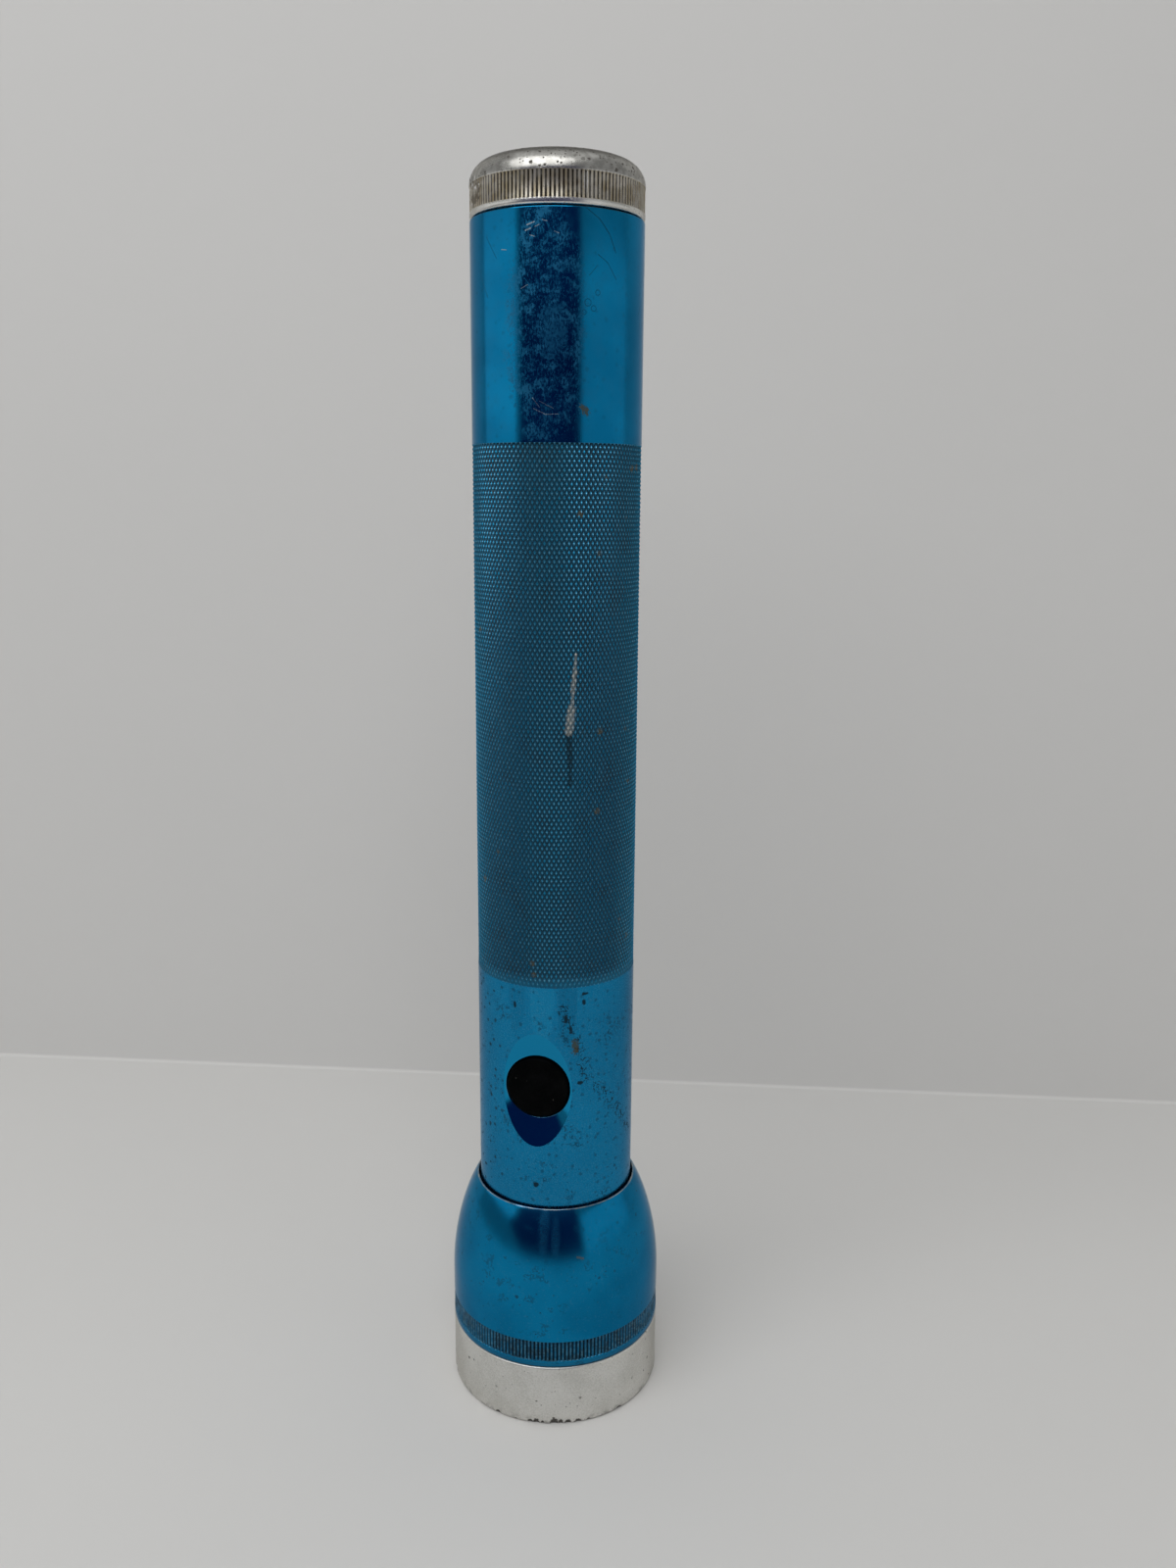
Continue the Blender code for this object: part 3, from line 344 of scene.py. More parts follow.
def anodisedHead(sizes):
    look = anodiseLook
    material, shader, place, arc, reach, level = roundFinish("head_blue_anodise", sizes.radius)
    band = between(level, sizes.bandLow, sizes.bandHigh, 0.05)
    groove = ((sizes.radius - reach) / sizes.fluteDepth).ease(0.2, 0.75) * band
    ragged = place.ragged(0.45, 3, 1.8)
    cloud = place.grain(20, 3)
    lines = place.stretch(0.05, 0.05, 1).grain(0.14)
    colour = cloud.ease(0.3, 0.7).tint(look.deep, look.bright)
    dust = place.grain(0.5).ease(0.55, 0.72)
    colour = (dust * 0.14).tint(colour, look.dust)
    film = place.grain(2.4, 4).ease(0.4, 0.66)
    underBand = level.ease(sizes.bandLow, sizes.bandLow - 0.7)
    dirt = groove * (0.92 + film * 0.08) | band * (0.42 + film * 0.34) | underBand * 0.3
    colour = dirt.tint(colour, look.grime)
    crests = band * (1 - groove) * place.grain(0.8).ease(0.46, 0.62)
    colour = (crests * 0.35).tint(colour, look.dust)
    wander = place.wobble(1.2, 0.7).grain(1, 1)
    worms = abs(wander - 0.5).ease(0.10, 0.045) * place.grain(3.2).ease(0.57, 0.66)
    specks = place.wobble(0.5, 0.7).pits(3, 0.28, 0.42) | place.wobble(0.4, 0.4).pits(1.1, 0.12, 0.2)
    specks = (specks | worms * 0.55) * (0.2 + cloud.ease(0.42, 0.62) * 0.8) * (1 - band)
    colour = (specks * 0.7).tint(colour, look.rot)
    nick = scratch(arc, level, headMarks.nick, ragged * 0.8)
    colour = (nick * 0.6).tint(colour, look.olive)
    soft = place.stretch(1, 1, 0.3).ragged(1.2, 2, 1.2)
    reflectionStreak = strongest([blot(arc, level, spot, soft, 0.95) for spot in headMarks.smudges])  # painted reflection: lighter streaks across the dark reflection on the upper bell
    colour = (reflectionStreak * 0.38).tint(colour, look.haze)
    # paler, partly bare metal on the rim's rounded edge: real edge wear that also paints in the bright rim
    # highlight
    rimLine = level.ease(sizes.rim - sizes.rimEdge * 1.3, sizes.rim - sizes.rimEdge * 0.7)
    colour = (rimLine * (0.3 + place.grain(1.8).ease(0.4, 0.6) * 0.4)).tint(colour, look.bare)
    dull = specks * 0.35 | dirt * 0.85 | nick * 0.3
    rough = 0.13 + lines * 0.05 + cloud * 0.05 + dull * 0.4 + reflectionStreak * 0.1
    feed(shader, Base_Color=colour, Roughness=rough, Metallic=1 - dull * 0.8,
         Specular_Tint=look.edge, Normal=bump(lines * 0.2 - dull * 0.5, 0.2, 0.05))
    return material


bareLook = Settings(
    metal=(0.76, 0.755, 0.725, 1), dullMetal=(0.60, 0.595, 0.56, 1), oxide=(0.33, 0.325, 0.305, 1),
    # soot is soot in pits and chips, and also the painted shade at the face ring's foot
    pit=srgb(46, 38, 30), tan=srgb(146, 132, 100), groove=srgb(34, 25, 16), soot=srgb(38, 32, 26),
    # crown is painted shade on the upper edge of the dome
    crown=(0.11, 0.108, 0.10, 1), fleck=(0.86, 0.86, 0.84, 1), edge=(0.70, 0.69, 0.67, 1),
)
tailMarks = Settings(bareCrests=(11.6, 306.2, 0.5, 2.6), knocks=(-20, 306.5, 4, 3.2))  # as on the barrel


def bareTail(sizes):
    look = bareLook
    material, shader, place, arc, reach, level = roundFinish("tail_bare_aluminium", sizes.radius)
    band = between(level, sizes.bandLow, sizes.bandHigh, 0.08)
    groove = ((sizes.radius - reach) / sizes.fluteDepth).ease(0.2, 0.6) * band
    cloud = place.grain(9, 4)
    rings = place.node("CombineXYZ", {}, {"X": reach * mm, "Y": level * mm})
    lathe = rings.grain(0.16)
    colour = cloud.ease(0.35, 0.65).tint(look.dullMetal, look.metal)
    dome = level.ease(sizes.bandHigh - 0.2, sizes.bandHigh + 0.3)
    colour = (dome * (0.6 + place.grain(1.6, 3).ease(0.4, 0.6) * 0.3)).tint(colour, look.oxide)
    # painted shade: a dark ring where the flat top of the dome turns into its rounded shoulder
    crown = level.ease(sizes.top - 2.4, sizes.top - 0.8) * reach.ease(13, 16.5)
    colour = (crown * 0.85).tint(colour, look.crown)
    film = place.grain(2.2, 4).ease(0.36, 0.6)
    bareCrests = blot(arc, level, tailMarks.bareCrests, place.ragged(0.5, 2, 1.5))
    streaks = place.stretch(1, 1, 0.12).grain(0.9).ease(0.4, 0.62)  # each crest a little different
    tan = band * (0.5 + film * 0.25 + streaks * 0.25) * (1 - groove) * (1 - bareCrests)
    colour = (tan * 0.92).tint(colour, look.tan)
    grooveDirt = groove * (0.82 + film * 0.18)
    colour = grooveDirt.tint(colour, look.groove)
    knocks = blot(arc, level, tailMarks.knocks, place.ragged(0.9, 3, 3))
    pits = place.wobble(0.6, 0.7).pits(1.5, 0.55, 0.42) * dome * (0.25 + cloud.ease(0.4, 0.58) * 0.75)
    pits = pits | place.wobble(0.3, 0.3).pits(0.75, 0.3, 0.2) * (0.3 + dome * 0.7) | knocks * film * 0.7
    colour = (pits * 0.9).tint(colour, look.pit)
    flecks = knocks * place.wobble(0.6, 0.8).pits(1.3, 0.5, 0.5)  # knocked bright again at the edge
    colour = (flecks * 0.9).tint(colour, look.fleck)
    dull = (pits | grooveDirt | tan * 0.45) * (1 - flecks)
    feed(shader, Base_Color=colour, Roughness=0.17 + cloud * 0.14 + lathe * 0.06 + dull * 0.35,
         Metallic=1 - dull * 0.8, Specular_Tint=look.edge,
         Normal=bump(lathe * 0.3 + place.grain(1.2, 3) * 0.8 - pits, 0.35, 0.07))
    return material


def bareFace(sizes):
    look = bareLook
    material, shader, place, arc, reach, level = roundFinish("face_bare_aluminium", sizes.radius)
    cloud = place.grain(11, 4)
    brushed = place.stretch(0.04, 0.04, 1).grain(0.2)
    fine = place.grain(0.4, 3)
    colour = (cloud * 0.5 + fine * 0.5).ease(0.36, 0.64).tint(look.dullMetal, look.metal)
    ragged = place.ragged(0.5, 3, 1.9)
    outside = reach.ease(sizes.radius - 1.2, sizes.radius - 0.7)
    perDegree = sizes.radius * math.radians(1)
    chips = strongest([blot(arc, level, (middle * perDegree, 0.1, half * perDegree, depth * 3.6), ragged)
                       for middle, half, depth in sizes.dents]) * outside
    # painted shade: a mottled darkening towards the foot of the face ring
    foot = level.ease(2.6, 0.1) * outside
    footShade = foot * place.grain(2.2, 4).ease(0.42, 0.66)
    pits = place.wobble(0.5, 0.6).pits(2.3, 0.26, 0.36) | place.wobble(0.3, 0.3).pits(0.9, 0.12, 0.17) * 0.6
    pits = pits * (0.3 + cloud.ease(0.42, 0.6) * 0.7)
    spots = pits | chips | footShade * 0.6
    colour = (spots * 0.92).tint(colour, look.soot)
    feed(shader, Base_Color=colour, Roughness=0.27 + cloud * 0.1 + fine * 0.12 + spots * 0.3,
         Metallic=1 - spots * 0.75, Specular_Tint=look.edge,
         Normal=bump(brushed * 0.3 + fine * 0.6 - spots, 0.35, 0.07))
    return material


print("metal finishes ready")

innerKeys = ("base", "worn", "rough", "metal", "grain", "bump", "shine", "lint")  # grain and lint in mm
innerLook = {
    "black_rubber": ((0.0009, 0.0012, 0.0013, 1), (0.0025, 0.0028, 0.003, 1), 0.38, 0, 0.5, 0.3, 0.012, 0.2),
    "black_plastic": ((0.018, 0.018, 0.019, 1), (0.04, 0.04, 0.041, 1), 0.42, 0, 0.35, 0.25, 0.5, 0),
    "grey_plastic": ((0.29, 0.30, 0.31, 1), (0.37, 0.38, 0.385, 1), 0.36, 0, 0.4, 0.2, 0.5, 0),
    "spring_steel": ((0.46, 0.46, 0.47, 1), (0.6, 0.6, 0.6, 1), 0.24, 1, 0.3, 0.12, 0.5, 0),
    "contact_brass": ((0.6, 0.41, 0.15, 1), (0.74, 0.55, 0.25, 1), 0.26, 1, 0.6, 0.12, 0.5, 0),
    "lamp_metal": ((0.6, 0.6, 0.59, 1), (0.76, 0.76, 0.74, 1), 0.2, 1, 0.5, 0.1, 0.5, 0),
    "reflector_plating": ((0.82, 0.82, 0.81, 1), (0.9, 0.9, 0.89, 1), 0.05, 1, 1.6, 0.06, 0.5, 0),
    "emitter": ((0.72, 0.56, 0.12, 1), (0.86, 0.74, 0.28, 1), 0.12, 0, 0.7, 0.05, 0.5, 0),
    "cell_sleeve": ((0.06, 0.065, 0.075, 1), (0.12, 0.125, 0.14, 1), 0.34, 0, 5, 0.05, 0.5, 0),
}
lintColour = (0.12, 0.12, 0.11, 1)


def innerFinish(slot):
    look = Settings(zip(innerKeys, innerLook[slot]))
    material, shader, place = newFinish(slot)
    fine = place.grain(look.grain, 3)
    cloud = place.grain(look.grain * 12, 3)
    handled = (fine * 0.45 + cloud * 0.55).ease(0.38, 0.64)
    colour = handled.tint(look.base, look.worn)
    if look.lint:
        colour = (place.wobble(0.4, 0.5).pits(1.4, 0.1, look.lint) * 0.5).tint(colour, lintColour)
    rough = look.rough + (fine - 0.5) * 0.12 + (cloud - 0.5) * 0.16
    feed(shader, Base_Color=colour, Metallic=look.metal, Specular_IOR_Level=look.shine, Roughness=rough,
         Normal=bump(fine, look.bump, 0.05))
    return material


clearLook = Settings(clean=(0.95, 0.97, 0.98, 1), dusty=(0.86, 0.88, 0.88, 1), bend=1.49)


def clearFinish(look):
    material, shader, place = newFinish("clear_lens")
    dust = place.grain(4, 4).ease(0.45, 0.75)
    feed(shader, Base_Color=dust.tint(look.clean, look.dusty), Roughness=0.02 + dust * 0.05,
         Transmission_Weight=1, IOR=look.bend, Normal=bump(place.grain(0.8), 0.02, 0.02))
    return material


finishes = {slot: innerFinish(slot) for slot in innerLook}
finishes["clear_lens"] = clearFinish(clearLook)
print("inner finishes ready")


def ring(bm, radii, levels, angles):  # one row of points; a radius of 0 is a single point on the axis
    if np.isscalar(radii) and radii == 0:
        return [bm.verts.new((0, 0, levels * mm))]
    return [bm.verts.new((r * math.sin(a) * mm, -r * math.cos(a) * mm, level * mm))
            for r, level, a in np.broadcast(radii, levels, angles)]


def bridge(bm, one, two):  # faces between two rows; a denser row has a whole number of points to each
    few, many = sorted((one, two), key=len)
    step = len(many) // len(few)
    if len(few) == 1:
        for i, point in enumerate(many):
            bm.faces.new((few[0], point, many[(i + 1) % len(many)]))
        return
    for i, point in enumerate(few):
        along = [many[(i * step + k) % len(many)] for k in range(step, -1, -1)]
        bm.faces.new((point, few[(i + 1) % len(few)], *along))


def turnedMesh(rows):  # rows of (radii, levels, angles), in a closed loop unless both ends are on the axis
    bm = bmesh.new()
    rings = [ring(bm, *row) for row in rows]
    for one, two in zip(rings, rings[1:]):
        bridge(bm, one, two)
    if len(rings[0]) > 1:
        bridge(bm, rings[-1], rings[0])
    return bm


def columns(count, shares=(0.0,)):  # angles round a full turn, with some more inside each step
    return np.array([(i + share) * fullTurn / count for i in range(count) for share in shares])


def rowsAt(outline, angles):  # each (radius, level) of an outline as a row
    return [(radius, level, angles) for radius, level in outline]


def roundOver(radius, level, size, start, end, steps):  # outline points on a rounded edge, angles in degrees
    turns = np.radians(np.linspace(start, end, steps + 1))
    return [(radius + size * math.cos(t), level + size * math.sin(t)) for t in turns]


def threadRows(look, angles):  # a right-handed screw thread that fades at both ends
    rows = []
    count = int((look.high - look.low) / look.pitch * look.perPitch)
    for level in np.linspace(look.low, look.high, count + 1):
        phase = (level / look.pitch - angles / fullTurn) % 1
        fade = min(1, (level - look.low) / look.pitch, (look.high - level) / look.pitch)
        ridge = np.clip(1.6 * (1 - np.abs(2 * phase - 1)) - 0.3, 0, 1)  # flat crests and roots
        rows.append((look.root + look.depth * fade * ridge, level, angles))
    return rows


def fluteRows(look, radius, count, margin=0.3):  # straight flutes with flat crests, between two plain rows
    plain = columns(count)
    dense = columns(count, (0.0, look.crest, (1 + look.crest) / 2))
    cut = np.tile([look.drop, look.drop, look.depth], count)
    rows = [(radius, look.low - margin, plain), (radius, look.low, dense)]
    rows.append((radius - cut, look.low + look.runOut, dense))
    rows.append((radius - cut, look.high - look.runOut, dense))
    rows += [(radius, look.high, dense), (radius, look.high + margin, plain)]
    return rows


def addObject(name, data):
    made = bpy.data.objects.new(name, data)
    bpy.context.scene.collection.objects.link(made)
    return made


def meshObject(name, bm):
    bmesh.ops.recalc_face_normals(bm, faces=bm.faces)
    mesh = bpy.data.meshes.new(name)
    bm.to_mesh(mesh)
    bm.free()
    return addObject(name, mesh)


def addPiece(name, bm, finish, body, nodes, sharp=30):  # sharp: edges bent by more degrees stay sharp
    piece = meshObject(name, bm)
    mesh = piece.data
    mesh.shade_smooth()
    mesh.set_sharp_from_angle(angle=math.radians(sharp))
    mesh.materials.append(finish)
    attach(piece, body)
    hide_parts(*nodes)
    print(f"{name}: {len(mesh.polygons)} faces")
    return piece


barrelLow, barrelHigh = nodeBox("barrel")
bootLow, bootHigh = nodeBox("switch_boot")
headLow, headHigh = nodeBox("head")
barrelLook = Settings(
    radius=barrelHigh.x, front=barrelLow.z, tail=barrelHigh.z, bore=17.4, edge=0.2, neck=19.0,
    neckEdge=0.4, step=51.9, sealLow=54.1, sealHigh=56.7, sealFloor=18.9, sharp=12,
    gripLow=headHigh.z + 60.6, gripHigh=barrelHigh.z - 50.0, tailBore=18.5, tailBoreLow=287.6,
    columns=220, knurlRows=128, knurlDepth=0.42, knurlTip=0.03, runOut=4,
    switchLevel=(bootLow.z + bootHigh.z) / 2, hole=8.35, holeEdge=0.3, dishRadius=15.5,
    dishSlope=math.radians(18.5), dishMargin=6.0, dishColumns=144, dishDepth=12.9,
)


def outward(level):  # lays what is turned about Z along the button's axis
    return Matrix.Translation((0, 0, level)) @ spun(90, "X")


def dishCutter(look):  # the hole for the button and the shallow cone round it, turned about the button's axis
    slope = math.tan(look.dishSlope)
    floor = look.radius - (look.dishRadius - look.hole) * slope
    edge = look.holeEdge
    middle = floor + edge * slope - edge / math.cos(look.dishSlope)
    far = look.dishRadius + look.dishMargin
    outline = [(0, look.dishDepth), (look.hole, look.dishDepth)]
    outline += roundOver(look.hole + edge, middle, edge, 180, 90 + math.degrees(look.dishSlope), 6)
    outline += [(reach, floor + (far - look.hole) * slope) for reach in (far, 0)]
    bm = turnedMesh(rowsAt(outline, columns(look.dishColumns)))
    bmesh.ops.transform(bm, matrix=outward(look.switchLevel * mm), verts=bm.verts)
    bmesh.ops.recalc_face_normals(bm, faces=bm.faces)
    return bm, floor


def cutAway(bm, cutter):  # bm less the cutter, as a new mesh
    base, tool = meshObject("blank", bm), meshObject("cutter", cutter)
    cut = base.modifiers.new("cut", "BOOLEAN")
    cut.operation, cut.solver, cut.object = "DIFFERENCE", "EXACT", tool
    done = bmesh.new()
    done.from_object(base, bpy.context.evaluated_depsgraph_get())
    for scrap in (base, tool):
        bpy.data.objects.remove(scrap)
    return done


def addKnurl(bm, look):  # swaps the plain band for four-sided points that meet at their valleys
    count, rows = look.columns, look.knurlRows
    low, high, radius, slack = look.gripLow, look.gripHigh, look.radius, 0.01

    def onRing(vert, level):
        return abs(vert.co.z / mm - level) < slack and vert.co.xy.length / mm > radius - slack

    band = [f for f in bm.faces if all(onRing(v, low) or onRing(v, high) for v in f.verts)]
    bmesh.ops.delete(bm, geom=band, context="FACES")
    edges = {}
    for level in (low, high):
        for vert in bm.verts:
            if onRing(vert, level):
                column = round(math.atan2(vert.co.x, -vert.co.y) / fullTurn * count) % count
                edges[level, column] = vert
    grid = []
    for j in range(rows + 1):
        level = low + (high - low) * j / rows
        row = []
        for i in range(count):
            if j in (0, rows) and i % 2 == 0:
                row.append(edges[low if j == 0 else high, i])
                continue
            runOut = min(1, (j + 1) / look.runOut)
            depth = look.knurlTip if (i + j) % 2 == 0 else look.knurlDepth * runOut
            angle = i * fullTurn / count
            reach = (radius - depth) * mm
            row.append(bm.verts.new((reach * math.sin(angle), -reach * math.cos(angle), level * mm)))
        grid.append(row)
    for j in range(rows):
        for i in range(count):
            k = (i + 1) % count
            a, b, c, d = grid[j][i], grid[j][k], grid[j + 1][k], grid[j + 1][i]
            pairs = ((a, b, d), (b, c, d)) if (i + j) % 2 == 0 else ((a, b, c), (a, c, d))
            for corners in pairs:
                bm.faces.new(corners)
    for level, row in ((low, grid[0]), (high, grid[-1])):
        for i in range(1, count, 2):  # the cut ends of the valleys
            bm.faces.new((edges[level, i - 1], edges[level, i], edges[level, (i + 1) % count], row[i]))


def steadyNormals(piece, look, floor):  # true normals, so that reflections run straight past the cut
    mesh = piece.data
    normals = np.zeros((len(mesh.loops), 3))
    slope, slack = look.dishSlope, 0.004
    for face in mesh.polygons:
        points = [mesh.vertices[i].co / mm for i in face.vertices]
        onTube = all(abs(p.xy.length - look.radius) < slack for p in points)
        onDish = False
        if not onTube and points[0].y < -10:  # on the button's side
            spread = [Vector((p.x, 0, p.z - look.switchLevel)) for p in points]
            heights = [floor + (s.length - look.hole) * math.tan(slope) for s in spread]
            onDish = all(abs(-p.y - h) < slack for p, h in zip(points, heights))
        if onTube and max(p.z for p in points) - min(p.z for p in points) > 0.02:
            for loop, p in zip(face.loop_indices, points):
                normals[loop] = Vector((p.x, p.y, 0)).normalized()
        elif onDish:
            for loop, s in zip(face.loop_indices, spread):
                normals[loop] = Vector((0, -math.cos(slope), 0)) - s.normalized() * math.sin(slope)
    mesh.normals_split_custom_set([tuple(n) for n in normals])


def makeBarrel(look):
    radius, edge, neck, neckEdge = look.radius, look.edge, look.neck, look.neckEdge
    outline = [
        (look.bore, look.front), (neck - neckEdge, look.front), (neck, look.front + neckEdge),
        (neck, look.step), (radius - edge, look.step), (radius, look.step + edge), (radius, look.sealLow),
        (look.sealFloor, look.sealLow), (look.sealFloor, look.sealHigh), (radius, look.sealHigh),
        (radius, look.gripLow), (radius, look.gripHigh),
        *roundOver(radius - edge, look.tail - edge, edge, 0, 90, 3),
        (look.tailBore, look.tail), (look.tailBore, look.tailBoreLow), (look.bore, look.tailBoreLow),
    ]
    cutter, floor = dishCutter(look)
    bm = cutAway(turnedMesh(rowsAt(outline, columns(look.columns))), cutter)
    addKnurl(bm, look)
    finish = anodisedBarrel(look)
    piece = addPiece("knurled_barrel", bm, finish, "barrel", ["barrel"], look.sharp)
    steadyNormals(piece, look, floor)


makeBarrel(barrelLook)

headLook = Settings(
    radius=headHigh.x, front=headLow.z, rim=headHigh.z, cavity=25.2, straight=30.95,
    shoulder=nodeBox("face_cap")[1].z + 0.3, edge=0.3, rimRadius=21.45, rimBore=21.1, rimDepth=1.2,
    rimEdge=0.18, rimTilt=math.radians(31.6), upright=10.55, lean=7.15, bellSteps=26, flutes=176,
    fluteDepth=0.5, collar=20.8, bore=19.3, boreHigh=51.6, boreLow=42.1, taperLow=34.1,
)
headLook["bandLow"] = headLook.shoulder + 1.65
headLook["bandHigh"] = headLook.bandLow + 5.65
headFlutes = Settings(
    low=headLook.bandLow, high=headLook.bandHigh, depth=headLook.fluteDepth, drop=0.08, crest=0.36,
    runOut=0.18,
)
headThread = Settings(
    low=headLook.front + 0.8, high=headLook.shoulder - 0.9, root=26.35, depth=0.5, pitch=1.27, perPitch=6,
)


def makeHead(look):
    around = columns(look.flutes)
    edge, rimEdge = look.edge, look.rimEdge
    rows = [(look.cavity, look.front, around), (headThread.root, look.front, around)]
    rows += threadRows(headThread, around)
    rows += [(headThread.root, look.shoulder, around), (look.radius - edge, look.shoulder, around)]
    rows += rowsAt(roundOver(look.radius - edge, look.shoulder + edge, edge, -60, 0, 3), around)
    rows += fluteRows(headFlutes, look.radius, look.flutes)
    tilt = look.rimTilt
    rimCentre = (look.rimRadius - rimEdge, look.rim - rimEdge)
    bellEnd = Vector((rimCentre[0] + rimEdge * math.cos(tilt), rimCentre[1] + rimEdge * math.sin(tilt)))
    start = Vector((look.radius, look.straight))
    upright = start + Vector((0, look.upright))
    lean = bellEnd + Vector((math.sin(tilt), -math.cos(tilt))) * look.lean
    for t in np.linspace(0, 1, look.bellSteps + 1):  # a Bezier curve from the straight part to the rim
        spot = (start * (1 - t) ** 3 + upright * 3 * (1 - t) ** 2 * t
                + lean * 3 * (1 - t) * t ** 2 + bellEnd * t ** 3)
        rows.append((spot.x, spot.y, around))
    inside = roundOver(*rimCentre, rimEdge, math.degrees(tilt), 90, 3)[1:]
    inside += [(look.rimBore, look.rim), (look.collar, look.rim - look.rimDepth),
               (look.collar, look.boreHigh), (look.bore, look.boreHigh), (look.bore, look.boreLow),
               (look.cavity, look.taperLow)]
    rows += rowsAt(inside, around)
    addPiece("fluted_head", turnedMesh(rows), anodisedHead(look), "head", ["head"])


makeHead(headLook)

faceHigh = nodeBox("face_cap")[1]
faceLook = Settings(
    radius=faceHigh.x, top=faceHigh.z, bore=27.0, boreEdge=0.3, opening=25.2, lip=2.2,
    bevel=0.8, edge=0.9, topEdge=0.55, columns=360,
    # dents in the edge it stands on: degrees from the button, half width in degrees, depth in mm
    dents=[
        (1, 1.6, 0.3), (4.5, 1.8, 0.42), (7.8, 1, 0.28), (14, 2.4, 0.5), (17.6, 1.4, 0.4), (21.5, 2, 0.34),
        (27, 2.2, 0.3), (33, 1.4, 0.22), (-18.2, 1.6, 0.26), (-7, 1, 0.16), (52, 2, 0.22), (-64, 2.4, 0.3),
        (118, 3, 0.35), (171, 2, 0.3), (-140, 2.6, 0.32),
    ],
)


def makeFace(look):
    around = columns(look.columns)
    dent = np.zeros(look.columns)
    for middle, half, depth in look.dents:
        off = (np.degrees(around) - middle + 180) % 360 - 180
        dent = np.maximum(dent, depth * np.clip(1 - (off / half) ** 2, 0, 1))
    inner = [(look.opening, look.lip), (look.opening, look.bevel),
             (look.opening + 0.15, look.bevel * 0.55), (look.opening + look.bevel, 0)]
    rows = rowsAt(inner, around)
    radius, edge, topEdge, bore = look.radius, look.edge, look.topEdge, look.bore
    for turn in np.radians(np.linspace(-90, 0, 9)):
        rows.append((radius - edge + (edge - dent) * math.cos(turn), edge + edge * math.sin(turn), around))
    rows.append((radius - dent * 0.3, edge + 0.6, around))  # the dents run out up the side
    outer = [(radius, edge + 1.4), *roundOver(radius - topEdge, look.top - topEdge, topEdge, 0, 90, 4)]
    outer += [(bore + look.boreEdge, look.top), (bore, look.top - look.boreEdge), (bore, look.lip)]
    rows += rowsAt(outer, around)
    addPiece("face_ring", turnedMesh(rows), bareFace(look), "face_cap", ["face_cap"])


makeFace(faceLook)

tailLow, tailHigh = nodeBox("tail_cap")
tailLook = Settings(
    radius=barrelHigh.x, plugEnd=tailLow.z, top=tailHigh.z, seam=barrelHigh.z + 0.3, shoulder=5.2,
    roof=3.0, edge=0.8, plug=18.2, hollow=15.6, collarEnd=297.7, root=17.7, sealLevel=299.7,
    sealFloor=16.95, sealHalf=0.85, flutes=130, fluteDepth=0.5, bandGap=0.35, flatRings=(0, 5.0, 10.0),
)
tailLook["bandLow"] = tailLook.seam + 1.4
tailLook["bandHigh"] = tailLook.bandLow + 5.8
tailFlutes = Settings(
    low=tailLook.bandLow, high=tailLook.bandHigh, depth=tailLook.fluteDepth, drop=0.1, crest=0.42,
    runOut=0.2,
)
tailThread = Settings(
    low=tailLook.plugEnd + 0.5, high=tailLook.collarEnd - 0.5, root=tailLook.root, depth=0.6, pitch=2.0,
    perPitch=8,
)


def makeTail(look):
    around = columns(look.flutes)
    rows = rowsAt([(radius, look.top) for radius in look.flatRings], around)
    dome = roundOver(look.radius - look.shoulder, look.top - look.shoulder, look.shoulder, 90, 0, 18)
    rows += rowsAt([point for point in dome if point[1] > look.bandHigh + look.bandGap], around)
    rows += reversed(fluteRows(tailFlutes, look.radius, look.flutes))
    edge = look.edge
    outside = roundOver(look.radius - edge, look.seam + edge, edge, 0, -90, 5)
    sealLow, sealHigh = look.sealLevel - look.sealHalf, look.sealLevel + look.sealHalf
    outside += [(look.plug, look.seam), (look.plug, sealHigh), (look.sealFloor, sealHigh),
                (look.sealFloor, sealLow), (look.plug, sealLow), (look.plug, look.collarEnd)]
    rows += rowsAt(outside, around)
    rows += reversed(threadRows(tailThread, around))
    inside = [(look.root, look.plugEnd), (look.hollow, look.plugEnd),
              (look.hollow, look.top - look.roof), (0, look.top - look.roof)]
    rows += rowsAt(inside, around)
    addPiece("fluted_tail_cap", turnedMesh(rows), bareTail(look), "tail_cap", ["tail_cap"])


makeTail(tailLook)


def turnedPiece(name, outline, count, slot, body, node):
    bm = turnedMesh(rowsAt(outline, columns(count)))
    return addPiece(name, bm, finishes[slot], body, [node])


sealLook = Settings(columns=140, sides=18)


def sealRing(name, node, body, look):  # an O-ring in its CAD ring's place
    low, high = nodeBox(node)
    half = (high.z - low.z) / 2
    section = roundOver(high.x - half, (low.z + high.z) / 2, half, 0, 360, look.sides)[:-1]
    turnedPiece(name, section, look.columns, "black_rubber", body, node)


for seal in (("head_seal_ring", "head_o_ring", "head_seal"), ("tail_seal_ring", "tail_o_ring", "tail_cap"),
             ("lens_gasket", "lens_seal", "lens")):
    sealRing(*seal, sealLook)

buttonLook = Settings(
    radius=bootHigh.x, top=-bootLow.y, bottom=-bootHigh.y, edge=0.7, face=6.5, sink=0.28, columns=96,
)


def makeButton(look):
    edge, top, sink, face = look.edge, look.top, look.sink, look.face
    outline = [(0, top - sink), (face * 0.55, top - sink * 0.92), (face, top - sink * 0.45),
               (face + 0.45, top - 0.02)]
    outline += roundOver(look.radius - edge, top - edge, edge, 80, 0, 6)
    outline += [(look.radius, look.bottom), (0, look.bottom)]
    bm = turnedMesh(rowsAt(outline, columns(look.columns)))
    bmesh.ops.transform(bm, matrix=outward(barrelLook.switchLevel * mm), verts=bm.verts)
    addPiece("rubber_button", bm, finishes["black_rubber"], "button", ["switch_boot"])


makeButton(buttonLook)

lensLow, lensHigh = nodeBox("lens")
lensLook = Settings(radius=lensHigh.x, low=lensLow.z, high=lensHigh.z, edge=0.3, columns=144)


